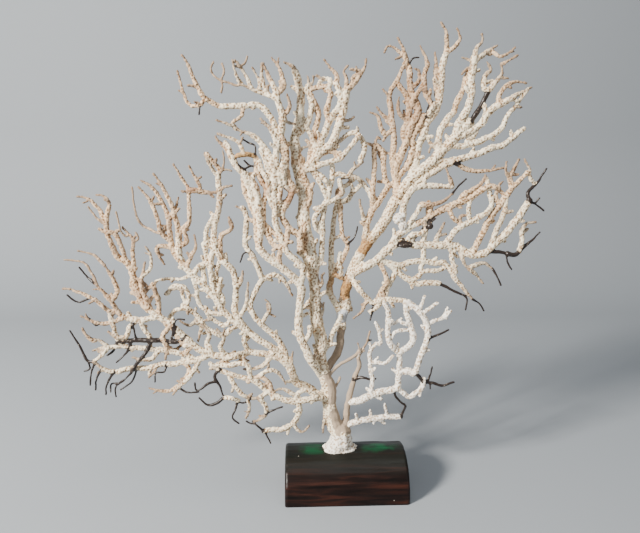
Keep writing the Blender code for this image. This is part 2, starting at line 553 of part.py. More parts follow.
def combine(target, others, operation):
    """Applies one exact boolean of the target with all the others, and removes them."""
    if not others:
        return
    group = bpy.data.collections.new("operands")
    bpy.context.scene.collection.children.link(group)
    for other in others:
        group.objects.link(other)
    step = target.modifiers.new("combine", "BOOLEAN")
    step.operation = operation
    step.operand_type = "COLLECTION"
    step.collection = group
    step.solver = "EXACT"
    graph = bpy.context.evaluated_depsgraph_get()
    result = bpy.data.meshes.new_from_object(target.evaluated_get(graph))
    target.modifiers.clear()
    old = target.data
    target.data = result
    bpy.data.meshes.remove(old)
    for other in others:
        bpy.data.objects.remove(other)
    bpy.data.collections.remove(group)


def clean(thing):
    """Welds slivers, makes triangles, and keeps the largest closed body."""
    work = bmesh.new()
    work.from_mesh(thing.data)
    bmesh.ops.dissolve_degenerate(work, edges=work.edges, dist=0.0005 * MM)
    bmesh.ops.triangulate(work, faces=work.faces)
    work.verts.ensure_lookup_table()
    seen = set()
    bodies = []
    for vertex in work.verts:
        if vertex in seen:
            continue
        body = []
        stack = [vertex]
        seen.add(vertex)
        while stack:
            here = stack.pop()
            body.append(here)
            for edge in here.link_edges:
                there = edge.other_vert(here)
                if there not in seen:
                    seen.add(there)
                    stack.append(there)
        bodies.append(body)
    bodies.sort(key=len, reverse=True)
    for body in bodies[1:]:
        print("left out of", thing.name, len(body), "vertices near",
              tuple(round(c * 1000) for c in body[0].co))
        bmesh.ops.delete(work, geom=body, context="VERTS")
    work.to_mesh(thing.data)
    faulty = [edge for edge in work.edges if len(edge.link_faces) != 2]
    for edge in faulty[:2]:
        print("faulty near", [round(c * 1000, 1) for c in edge.verts[0].co])
    open_edges = len(faulty)
    work.free()
    print(thing.name, len(thing.data.polygons), "triangles", open_edges, "open edges")
    return open_edges


def paint(thing, colour, roughness):
    material = bpy.data.materials.new(thing.name)
    material.use_nodes = True
    surface = material.node_tree.nodes["Principled BSDF"]
    surface.inputs["Base Color"].default_value = (*colour, 1.0)
    surface.inputs["Roughness"].default_value = roughness
    surface.inputs["Metallic"].default_value = 0.0
    thing.data.materials.clear()
    thing.data.materials.append(material)


def block(name, grow=0.0):
    """The half-round block: a curved back on a flat underside, with worn ends."""
    vertices = []
    faces = []
    half = BLOCK_LENGTH / 2.0 + grow
    rings = ((-half, BLOCK_WEAR), (-half + BLOCK_WEAR, 0.0), (half - BLOCK_WEAR, 0.0), (half, BLOCK_WEAR))
    count = BLOCK_STEPS + 1
    for x, worn in rings:
        for k in range(count):
            turn = pi * k / BLOCK_STEPS
            y = -cos(turn) * (BLOCK_DEPTH / 2.0 + grow - worn)
            z = sin(turn) ** 0.86 * (BLOCK_HEIGHT + grow - worn)
            vertices.append(Vector((x, y, max(z, 0.0) - grow)) * MM)
    for r in range(len(rings) - 1):
        for k in range(count):
            n = (k + 1) % count
            a = r * count
            faces.append((a + k, a + n, a + count + n, a + count + k))
    faces.append(tuple(range(count)))
    faces.append(tuple(reversed(range(len(vertices) - count, len(vertices)))))
    thing = add_mesh(name, vertices, faces)
    fix_normals(thing.data)
    return thing


def foot():
    """The skirt with which the fan grips the block's crest."""
    vertices = []
    faces = []
    for k, (z, width, depth) in enumerate(FOOT_RINGS):
        for s in range(FOOT_SIDES):
            turn = 2.0 * pi * s / FOOT_SIDES
            lobe = 1.0 + 0.07 * cos(3.0 * turn + 0.6) + 0.05 * sin(5.0 * turn)
            x = FOOT_CENTRE_X + cos(turn) * width / 2.0 * lobe
            vertices.append(Vector((x, sin(turn) * depth / 2.0 * lobe, z)) * MM)
        if k:
            low = (k - 1) * FOOT_SIDES
            for s in range(FOOT_SIDES):
                n = (s + 1) % FOOT_SIDES
                faces.append((low + s, low + n, low + FOOT_SIDES + n, low + FOOT_SIDES + s))
    faces.append(tuple(range(FOOT_SIDES)))
    faces.append(tuple(range(len(vertices) - FOOT_SIDES, len(vertices))))
    thing = add_mesh("foot", vertices, faces)
    fix_normals(thing.data)
    return thing


def sampled(branch):
    """Points about every three millimetres of a centre line, each with its radius."""
    line, widths, _ = branch
    found = []
    for k in range(len(line) - 1):
        a, b = placed(line[k]), placed(line[k + 1])
        steps = max(1, round((b - a).length / 3.0))
        for s in range(steps):
            t = s / steps
            found.append((a + (b - a) * t, (widths[k] + (widths[k + 1] - widths[k]) * t) / 2.0))
    found.append((placed(line[-1]), widths[-1] / 2.0))
    return found


def close(one, other):
    """Whether two branches come nearer than their clearance allows."""
    for p, r in one:
        for q, s in other:
            if (p - q).length < (r + s) * 1.12 + 1.6:
                return True
    return False


for thing in list(bpy.data.objects):
    bpy.data.objects.remove(thing)

laid = lay_out()
samples = {name: [sampled(branch) for branch in laid[name]] for name in BOUGHS}
names = list(BOUGHS)


def build_bough(name, swell):
    """Joins a bough's branches and cuts it clear of the boughs before it."""
    tubes = []
    for k, (line, widths, _) in enumerate(laid[name]):
        if widths[0] >= MIN_TWIG * FULLNESS:
            tubes.append(tube(name + str(k), line, [w * swell for w in widths]))
    if name == "holdfast":
        tubes.append(foot())
    bough = tubes.pop(0)
    bough.name = name
    combine(bough, tubes, "UNION")
    cutters = []
    if name == "holdfast":
        cutters.append(block("block_cutter", 0.15))
    for before in names[:names.index(name)]:
        for k, there in enumerate(samples[before]):
            line, widths, _ = laid[before][k]
            if widths[0] >= MIN_TWIG * FULLNESS and any(close(here, there) for here in samples[name]):
                cutters.append(tube("cutter", line, widths, CLEARANCE))
    combine(bough, cutters, "DIFFERENCE")
    return bough, clean(bough)


for name in names:
    # Where two surfaces meet along an edge, a slightly fuller bough parts or joins them.
    for attempt in range(TRIES):
        bough, faults = build_bough(name, 1.0 + SWELL * attempt)
        if faults == 0:
            break
        if attempt < TRIES - 1:
            bpy.data.objects.remove(bough)
    bough.name = name
    paint(bough, *BOUGHS[name][2:])

base = block("wooden_block")
paint(base, (0.05, 0.022, 0.014), 0.35)
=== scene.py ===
"""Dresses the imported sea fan: pitted rind, bare dark twigs, and a stained half-round block.

Lengths are in millimetres unless a name says otherwise, and meshes are in metres, +Z up.
"""
import bpy
import bmesh
import numpy as np
from math import cos, pi, radians, sin
from random import Random
from mathutils import Matrix, Vector, kdtree, noise


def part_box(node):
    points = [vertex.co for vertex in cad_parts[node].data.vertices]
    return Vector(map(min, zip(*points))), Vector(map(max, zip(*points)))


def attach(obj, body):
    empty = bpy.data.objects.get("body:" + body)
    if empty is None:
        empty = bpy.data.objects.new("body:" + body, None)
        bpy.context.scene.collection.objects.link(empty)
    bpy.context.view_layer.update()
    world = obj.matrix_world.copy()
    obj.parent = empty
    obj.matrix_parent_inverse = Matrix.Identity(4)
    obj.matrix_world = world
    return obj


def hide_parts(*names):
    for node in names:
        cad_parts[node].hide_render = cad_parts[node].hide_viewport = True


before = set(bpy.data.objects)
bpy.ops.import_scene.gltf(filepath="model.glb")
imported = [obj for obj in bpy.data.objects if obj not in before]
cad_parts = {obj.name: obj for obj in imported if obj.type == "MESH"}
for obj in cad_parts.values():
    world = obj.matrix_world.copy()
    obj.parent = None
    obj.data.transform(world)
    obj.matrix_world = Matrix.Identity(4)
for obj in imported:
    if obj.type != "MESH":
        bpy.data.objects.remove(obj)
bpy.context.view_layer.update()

MM = 0.001

# The camera: its place, its tilt down, its turn to the right, and its lens on a 36 mm sensor.
EYE = Vector((-37.5, -450.0, 266.0))
PITCH = radians(9.9)
YAW = radians(2.1)
LENS = 32.46
SENSOR = 36.0

# How a branch springs from its bough and changes depth, as in the solids: how near a start or an
# end joins an earlier branch, the gap that takes a point of its own, the length of a change in
# depth, the most of a branch that it takes at either end, and the depths that they have in turn.
JOIN_REACH = 7.0
END_REACH = 3.6
OPEN_GAP = 1.0
RAMP = 16.0
RAMP_IN = 0.55
RAMP_OUT = 0.45
DEPTH_OFFSETS = (0.0, 1.4, -1.2, 0.7, -1.8)

# The tubes: spacing of rings, number of sides, the thinnest twig, how unevenly they swell, how
# far they stray, the rings over which the straying sets in, and the two rings that round a tip,
# as shares of the last width: how far each lies ahead, and how wide it is.
RING_STEP = 1.3
SIDES = 8
THINNEST = 1.7
SWELL = 0.16
WANDER = 0.7
HELD_RINGS = 5.0
TIP_RINGS = ((0.28, 0.8), (0.42, 0.35))

# How much fuller a branch is than the width in the table, unless its surface is a plain one.
FULLNESS = 1.2
PLAIN = ("bare", "smooth", "dun")

# A fine free end is drawn to a point: the width that counts as fine, the length, and the share
# of the width that is left.
TAPER_BELOW = 3.0
TAPER_LENGTH = 15.0
TAPER_TO = 0.55

# The side buds: the surfaces that have them, the points that a line has at least, those left free
# at its end, the spacing, the least start, length, turn in degrees, lean to front or back, widest
# width, width beside the branch's own, rise, thinning, and how often the side changes.
BUDDING = ("cream", "tan", "white")
BUD_LEAST = 14
BUD_LAST = 4
BUD_GAP = (15.0, 34.0)
BUD_START = 4.0
BUD_LENGTH = (2.0, 5.2)
BUD_TURN = (42.0, 72.0)
BUD_LEAN = 0.35
BUD_WIDEST = 3.4
BUD_SHARE = 0.8
BUD_RISE = 0.3
BUD_THINS = 0.25
BUD_CHANGES_SIDE = 0.7

# The seeds of the buds and of the noise, which make every run the same.
BUD_SEED = 11
NOISE_SEED = 5

# The skin over a bough's tubes: its voxel, its easing, and the vertices that a crumb has at most.
VOXEL = 0.64
EASE = 0.42
EASE_ROUNDS = 2
CRUMB = 400

# The rind: the spacing of its pits, how far it stands out between them, how deep they go, their
# flat middle and their slope in shares of the spacing, and the height of its lumps.
PIT_SPACING = 1.75
RIND_HEIGHT = 0.62
PIT_DEPTH = 0.30
PIT_MIDDLE = 0.20
PIT_SLOPE = 2.6
LUMP_HEIGHT = 0.42

# The flutes of a plain stem, and how far the border between two surfaces wavers.
FLUTE_HEIGHT = 0.14
WAVER = 1.1

# Scales of the noise in the rind, from fine to broad, in cycles to a millimetre.
ROUGH = 1.3
SPECKS = 0.9
LUMPY = 0.8
WAVERING = 0.6
PALE_PATCHES = 0.5
PATCHY = 0.13
BROAD = 0.045

# The surfaces, in linear colour: body, pits, and how strongly each one is raised and pitted. The pit
# colour is partly the rind's own brown and partly painted shade in its pits and hollows; on stems
# it colours streaks.
SURFACES = {
    "cream": ((0.92, 0.81, 0.60), (0.24, 0.125, 0.045), 1.0),
    "tan": ((0.74, 0.54, 0.345), (0.19, 0.092, 0.034), 1.0),
    "ochre": ((0.44, 0.24, 0.085), (0.20, 0.09, 0.03), 0.6),
    # The smooth stem's body is its own grey-beige darkened to its look in shade: partly painted shade.
    "smooth": ((0.37, 0.285, 0.205), (0.27, 0.20, 0.14), 0.06),
    "bare": ((0.020, 0.013, 0.010), (0.010, 0.007, 0.006), 0.04),
    "white": ((0.95, 0.90, 0.80), (0.36, 0.23, 0.12), 0.9),
    "grey": ((0.52, 0.54, 0.56), (0.30, 0.30, 0.31), 0.7),
    "dun": ((0.36, 0.255, 0.17), (0.11, 0.062, 0.035), 0.45),
}
BODIES = {name: Vector(row[0]) for name, row in SURFACES.items()}
# Pit colours: partly own brown, partly painted shade in the rind's pits and hollows, and the streaks on
# stems.
PIT_SHADE_AND_STREAK = {name: Vector(row[1]) for name, row in SURFACES.items()}
FINE_TIP = Vector((0.21, 0.135, 0.085))
BARE_SPECK = Vector((0.42, 0.36, 0.30))

# A fine tip darkens where its last width is below the first number, in full at the second less,
# over the given number of rings.
DARK_BELOW = 2.6
DARK_RANGE = 0.7
DARK_RINGS = 15.0

# Places on the middle plane where the rind is stained: centre (x, z), reach, colour and strength.
STAINS = (
    ((-7.0, 172.0), 9.0, (0.50, 0.27, 0.09), 0.75),
    ((15.0, 203.0), 8.0, (0.52, 0.32, 0.14), 0.6),
    ((48.0, 318.0), 17.0, (0.50, 0.31, 0.19), 0.6),
    ((44.0, 300.0), 15.0, (0.58, 0.40, 0.27), 0.45),
    ((62.0, 335.0), 12.0, (0.58, 0.42, 0.30), 0.4),
    ((-45.0, 243.0), 6.0, (0.40, 0.17, 0.08), 0.7),
    ((-64.0, 249.0), 6.0, (0.42, 0.20, 0.10), 0.6),
    ((-76.0, 275.0), 6.0, (0.50, 0.33, 0.13), 0.6),
    ((-121.0, 249.0), 4.0, (0.38, 0.16, 0.08), 0.7),
    ((-25.0, 287.0), 5.0, (0.50, 0.28, 0.15), 0.5),
    ((-7.0, 246.0), 5.0, (0.40, 0.17, 0.09), 0.6),
    ((-125.0, 212.0), 8.0, (0.50, 0.32, 0.20), 0.5),
    ((-146.0, 220.0), 12.0, (0.56, 0.40, 0.28), 0.45),
    ((-180.0, 212.0), 16.0, (0.50, 0.36, 0.25), 0.5),
    ((-190.0, 150.0), 16.0, (0.56, 0.41, 0.30), 0.4),
    ((-161.0, 168.0), 10.0, (0.52, 0.36, 0.26), 0.45),
    ((-21.0, 137.0), 5.0, (0.50, 0.36, 0.18), 0.4),
    ((70.0, 240.0), 9.0, (0.46, 0.27, 0.16), 0.5),
    ((118.0, 225.0), 9.0, (0.60, 0.44, 0.28), 0.4),
    ((-100.0, 240.0), 8.0, (0.56, 0.38, 0.25), 0.5),
)

# Each bough: the bough that it springs from, its depth, and its slot in the record.
BOUGHS = {
    "holdfast": (None, 0.0, "bare_stem"),
    "centre_bough": ("holdfast", 0.0, "pale_rind"),
    "inner_left_bough": ("holdfast", -9.0, "pale_rind"),
    "left_bough": ("holdfast", 9.0, "pale_rind"),
    "far_left_bough": ("left_bough", 0.0, "tan_rind"),
    "low_left_bough": ("holdfast", -9.0, "pale_rind"),
    "right_bough": ("holdfast", 9.0, "pale_rind"),
    "outer_right_bough": ("right_bough", 0.0, "pale_rind"),
    "low_right_bough": ("holdfast", -9.0, "white_rind"),
    "lowest_right_bough": ("holdfast", -3.0, "white_rind"),
}

# Lumps that stand on a bough: its name, surface, centre (x, depth, z) and size (x, y, z).
LUMPS = (
    ("outer_right_bough", "white", (40.5, -2.0, 225.0), (8.0, 6.0, 9.0)),
    ("outer_right_bough", "white", (44.0, -2.0, 220.0), (6.5, 5.5, 8.0)),
    ("outer_right_bough", "bare", (66.0, -2.0, 219.0), (5.0, 4.0, 5.0)),
    ("outer_right_bough", "bare", (46.5, -2.6, 203.5), (10.5, 3.6, 3.6)),
    ("right_bough", "grey", (-3.0, 7.0, 147.0), (6.0, 6.5, 6.0)),
    ("right_bough", "ochre", (-1.0, 7.5, 168.0), (7.5, 6.0, 10.0)),
    ("right_bough", "ochre", (15.0, 7.5, 203.0), (7.0, 6.0, 8.0)),
    ("right_bough", "bare", (85.0, 8.0, 268.0), (4.0, 4.0, 3.4)),
)

# The flared foot: height, width and depth of each ring about its centre.
FOOT_CENTRE_X = -5.0
FOOT_RINGS = ((30, 29, 19), (33.8, 28.5, 18), (36, 22, 15.5), (40, 17, 13), (45, 14, 12))
FOOT_SIDES = 40

# The block: columns along it, steps over its back and under it, how far it is set in, how full
# its curve is (1 is round), and its worn ends as distance from the end and depth of wear.
BLOCK_COLUMNS = 110
BLOCK_STEPS = 90
UNDER_STEPS = 24
BLOCK_INSET = 0.45
BLOCK_FULLNESS = 0.86
WORN_ENDS = ((0.0, 2.4), (0.35, 1.1), (1.1, 0.35), (2.2, 0.0))

# The wood's tones from dark to reddish, the heights in metres between which it turns grey and
# green, and how strong the green is along the block, from its left end (0) to its right end (1).
WOOD_TONES = ((0.34, (0.0030, 0.0022, 0.0020)), (0.50, (0.0085, 0.0042, 0.0034)),
              (0.64, (0.026, 0.0085, 0.0055)), (0.82, (0.060, 0.021, 0.011)))
GREYER_UP = (0.021, 0.029)
GREEN_UP = (0.0322, 0.0334)
GREEN_ALONG = tuple((where, (much, much, much)) for where, much in (
    (0.10, 0.0), (0.18, 0.8), (0.32, 0.8), (0.40, 0.0), (0.62, 0.0), (0.70, 1.0), (0.90, 1.0), (0.97, 0.0)))

# The middle of the fan, in metres, which the lamps face.
LIT = (0.0, 0.0, 0.18)

# The routes of the branches, listed one to a line, which a backslash carries on: the
# width at the base, the width at the tip, the surface where it isn't cream, and points (x, z) in
# millimetres on the fan's middle plane.
ROUTES = {
    "holdfast": """
11 8 smooth: -5,36 -5,42 -6,50 -9,60 -12,70 -12,80 -13,90 -17,99
6.5 3.5 smooth: -4,46 -1,53 1,60 2,70 3.5,80 6,90 8.5,98 11.3,105 10,112
2.2 1.6 dun: 11,112 12.6,116 17,125 19.5,134
3 2.2: -12,72 -16,68 -17,60 -18,52 -18.5,47
3.2 2.6 bare: 8,93 13,94.5 22,92.5 25,93.5
3.2 2.4 smooth: -14,96 -8,103 -3,107 3,110 8,114 11,118
2.6 2.2 smooth: -13,84 -9,86 -5.5,92 -4.5,95
15.6 13.4: -3.2,38 -3.2,44 -3.6,49
5.4 4.6: -10,48 -12.5,56 -14.6,66 -16,76 -16.4,86 -20,97
2.6 2 white: 10,112 11.4,117 9.7,124
2 1.8 bare: 17.5,126 20.6,126.5
2.4 1.8 white: 10,118 13,119 15,117
""",
    "centre_bough": """
8.5 6.5: -17,99 -20,106 -21,115 -20,125 -22,135 -24,145 -25,155 -25,171 -28,186 -28,199 -31.5,213 -33,229 \
-35,250 -38.3,267 -40.6,284
6 4.5: -40.6,284 -38,296 -36,303 -35.6,314 -36,322 -39.4,335
4 2: -39.4,335 -41.5,339 -47.8,342
4.6 3.6: -29,186 -31.5,192 -34,207 -36.4,221 -36.4,232 -35.2,243
4 3.6 tan: -32,234 -29,239 -28,247 -31.5,253 -34.4,262 -36.4,273
4 3.2: -40,288 -35.6,292 -32,295 -28.5,304 -27,311 -29,319 -31.4,322 -30,325
3 2: -30,325 -29.5,328 -30.6,332
3 2: -30,325 -26.5,328 -26,332
3 2.4: -38.2,276 -34.4,279 -28,281.5
3 2.4: -24.8,167 -22,170 -19.5,175 -20,179 -17.8,182
3 2: -22,145 -19,150 -18,158
3.8 3.4: -27.5,184 -23,188 -20,194 -19.5,204 -19,214 -19,225 -17.5,235 -15,241 -13,250 -12,258 -11.5,266
4 3: -18,234 -21,233.5 -25,233
3.4 3: -15,241 -19,250 -23,257 -28,263 -34,266
3.8 3: -36,262 -27,264 -20,267 -12,269 -5,272 1,279 6,285 9,289
3 2.4: -12,258 -6,260 0,258 4,263 8,266 12,269
3.4 2.8: 10,270 13,276 13,282 9,289 5,291 -1,289 -8,283 -13,280
5.4 4.6: -36,261 -30,266 -24,272 -17,278 -12,283 -9,290 -6,298 -3.5,307 -2,315 -1,322
4 2.2 tan: -1,322 4,327 9,333 12.5,339 13.5,345
3 1.8 tan: -1,322 -1,330 -3,336 0,340
2.4 1.8 tan: 3,326 4,331 9,336 2,337
3 2.4: -5,300 -1,300 3,301 5,303
4.6 3.4: -27,269 -23,278 -20,285 -17,292 -14,299 -11,304 -7,309 -5,316 -6,322 -9,327
3 2 tan: -9,327 -8,333 -13,338 -18,344
3.6 3 tan: -14,299 -16,307 -14,314 -12.5,319 -16,324 -22,324 -27,323
3 2.4: -14,325 -13,330 -19,330 -22,326
4.2 3.2 tan: -29,267 -27,280 -25,288 -23.5,297 -22,305 -25,313 -28,319
3.4 3: -19,214 -24,218 -25,226 -21,232
3.4 3: -16,237 -9,240 -4,246 -6,255
3.4 2.8: -28,262 -22,260 -17,255 -13,249
3.4 2.8 tan: -24,274 -17,276 -10,277 -4,272
3.8 3.2: -20,113 -15,122 -11,131 -7,140 -4,147
2.2 1.8 bare: -2,130 0,124 3,119 6.5,115
3.2 2.8: -38,152 -31,157 -26,165 -23,172
3 2.6 tan: -35,200 -33,208 -34,216 -32,224
3.4 3: -24,279 -26,286 -31,295 -35,301
""",
    "inner_left_bough": """
5.4 4.6: -19.5,97 -24,104 -29,111 -33,120 -37,131 -38,142 -37,158 -35.5,169 -39.7,176 -49,185 -61,194.5 \
-69,203
3.6 3 tan: -69,203 -70.5,212 -71,226 -74.4,235 -78.5,244 -80.3,258
4 4.4: -69,203 -67.4,217 -68.5,232 -69.6,246 -74.7,255 -83.4,264 -88,272
4 2.2 tan: -88,272 -92.5,279 -98,284.5 -100.4,288.2
2.6 2: -88,272 -90,280 -93,284
3.4 3: -34,125 -30,131 -29,138
2.6 2.2: -28,110 -24,116
3.4 3 tan: -52.8,188.5 -53,196 -51,203 -47,208 -46.5,216
3.5 3 tan: -57,205 -62,214 -65,224 -64.5,238 -62.8,248 -67,256 -69.5,263 -70.3,273
3.4 3 ochre: -70.3,273 -76,274.6 -84,273.7
2.6 1.6: -79.2,275 -81.4,281 -86,286 -93,288 -98.6,290
1.8 1.2 bare: -70.3,273 -70.3,281 -75.7,283.3 -80,286
4.2 4: -36.4,173 -34,185 -40.5,193 -46.6,199.6 -52.3,212.4 -56,225 -56,234 -56.5,246 -56,258 -57.6,269.5
3.6 2.6: -57.6,269.5 -61.8,278 -68.6,286 -75,290.5 -84,293
2.4 2: -84,293 -89,297 -99,300
3.4 3: -57,252 -60.4,264 -63.7,273 -66,278
4.2 4 tan: -36.5,200 -37,212 -44,216.6 -48.6,224 -50,230 -46.5,238 -43,244.5 -42,250 -45.3,256 -46.8,266 \
-46.8,278 -51,289
3.6 3.2: -49,228 -52.6,238 -51.5,252 -54,267 -54.2,278 -51,289
3.2 2.8 tan: -47.3,266 -49.8,277 -50.7,286
4.4 3.2: -51,289 -49,300 -51.5,311 -54.5,321.5 -57,327
3.2 2 tan: -57,327 -60,332.5 -63.2,341
4 3.2: -51,289 -55.3,295 -58.7,303 -66.5,311 -78.7,310.4 -97,310
3.2 2 tan: -97,310 -107.5,316.7 -113.2,325.3 -118,338 -123.1,346.5
2.4 1.6 tan: -107,316 -111,311 -118.4,311 -123,319.7 -126.8,335.5
1.8 1.4 bare: -111,310.5 -112,304
2.4 2 tan: -78.7,310 -80.3,303 -86,299.3 -86,296 -83,293
3.2 2.8: -50,304 -46,299 -40,297
3.4 1.8 tan: -54,319 -48.5,324 -49,331 -52,339 -57.2,345.3
3 2.4: -53,315 -61,318.5 -70,322 -78.5,325
2.4 1.5: -78.5,325 -83.2,332 -86,343
2.6 1.6: -67,321 -66,327 -69,334 -71.5,338
2.6 1.6: -72,323 -76,331 -81,339 -84,343
2.6 1.6: -59,318 -63,325 -65,333 -64.2,341
1.8 1.4 dun: -81,339 -77,341 -75,346
3.4 3: -55,231 -60,242 -61,254 -66,263 -68,270
3.4 3: -68,229 -73,238 -76,250 -80,261
3.4 2.8 tan: -47,206 -53,211 -60,217 -66,223
3.4 3: -42,246 -47,250 -49,258 -50,268 -48,277
3.2 2.6: -56,268 -54,279 -56,288 -61,296 -66,301
3.2 2.6 tan: -51,300 -46,306 -44,312 -46,319
2.2 1.6 dun: -83,325 -89,327 -95,329 -100,332 -102,337 -100,342
2 1.6 dun: -95,329 -92,335 -94,341
2.2 1.8 dun: -95,329 -94,325 -95,320
1.8 1.6 bare: -74,266 -79,270
1.8 1.6 bare: -74,265 -79,264 -83,266
""",
    "left_bough": """
6 5: -14,76 -24,81 -32,87 -40,91 -44,99 -47,106 -53,112
4.6 4.2: -53,112 -61,115 -70,116 -79,118
4.4 4.2: -51,111 -55,118 -64,124 -72,129 -80,136 -88,142 -96,149 -101,157 -106,165 -114,174 -122,182
4.2 4.2: -122,182 -128,189 -131,198 -131,207 -131,215
3.4 2 tan: -131,215 -133,226 -136,238 -142,250 -148,260
3.2 1.8 tan: -131,213 -127,219 -122.5,223 -122,235 -122,247 -127,257 -133,267
3.4 2.8 tan: -122,248 -117,247 -110,246 -99,246
2.6 2 tan: -112,247 -116,256 -121,266
4 2.2 tan: -127,187 -134,197 -137,208 -138,219 -139,230 -144,241 -151,251 -158,255
3.2 2 tan: -137,208 -144,214 -146,224 -149,233 -154,243 -160,250
3 2.6 tan: -136,203 -143,204 -148,203 -146,196 -143,190
2.4 1.6 dun: -144,214 -152,217 -159,221 -163,230 -165,250
3 1.8 tan: -126,187 -122,196 -118,204 -119,213
2.2 1.8: -123,181 -132,178 -143,178 -151,176 -152,170 -148,163 -148,152
3.4 3: -120,181 -117,188 -111,190 -106,190
4.2 4: -73,130 -80,137 -86,145 -89,153 -88,165 -88,177 -91,187 -98,193 -103,202
4 3.6: -103,202 -104,212 -103,221 -100,230 -98.5,240 -99,250 -99,260
2.6 2: -99,257 -103,263 -107,270 -109,276
2.6 2: -99,260 -94,263 -89,262
3 2.4: -98.5,247 -94,250 -89,251
3.2 2.8: -103,202 -109,206 -110,213 -108,220 -103,228
3.4 2.8 tan: -99,194 -99,204 -98,212 -92,216 -89,220 -92,227
3.8 3.4: -99,152 -103,162 -106,174 -107,186 -106,196 -104,203
3.2 2.8: -103,163 -101,172 -103,182 -100,192
2.8 2: -86,146 -82,153 -79,163 -78,175
3.8 3.6: -47,107 -50,119 -57,130 -65,138 -73,147 -77,156 -74,164 -70,172 -65,178 -57,181
3.2 2.8: -57,181 -51,178 -46,170 -43,164
3 2.2: -67,141 -64,148 -61,152 -62,158 -65,161
2.6 2: -63,150 -57,147
3.8 3.4: -67,177 -70,187 -74,196 -79,204 -79,215 -78,226 -81,234
2.8 2.4: -80,233 -86,235
2 1.6 bare: -77,199 -81,198 -84,191
3.6 3.2: -79,118 -82,127 -80,136
3.4 3: -84,141 -92,137 -99,132 -106,134 -113,139 -117,146 -124,152 -130,157
3 2.4: -113,139 -120,142 -126,140 -133,144
3.2 2.6: -97,150 -106,150 -113,154 -118,160 -119,170 -121,178
2.8 2.2: -125,153 -129,162 -131,170 -139,170 -144,166
2.6 2: -42,100 -44,109 -43,117
3.4 3: -112,172 -113,184 -110,196 -112,206
3.2 2.6: -88,170 -83,176 -82,184
3.4 2.8: -57,119 -62,112 -67,106 -75,103 -83,103
3.2 2.6: -92,144 -97,140 -104,143 -110,148 -112,155
3.2 2.6 tan: -131,204 -125,208 -126,216 -124,222
3 2.6 tan: -137,226 -133,233 -130,242
3 2.6: -141,147 -135,153 -127,154 -121,150
3 2.4: -142,166 -137,172 -129,172 -125,165 -126,158
3.2 2.8: -98,161 -101,170 -99,178
3.2 2.8 tan: -146,117 -137,121 -130,126
3.4 2.8 tan: -101,116 -89,114 -79,110
3 2.8: -115,142 -117,135 -119,127
2.8 2.4 tan: -99,265 -103,269 -107,275
2.2 1.8 dun: -96,262 -94,270 -95,277
""",
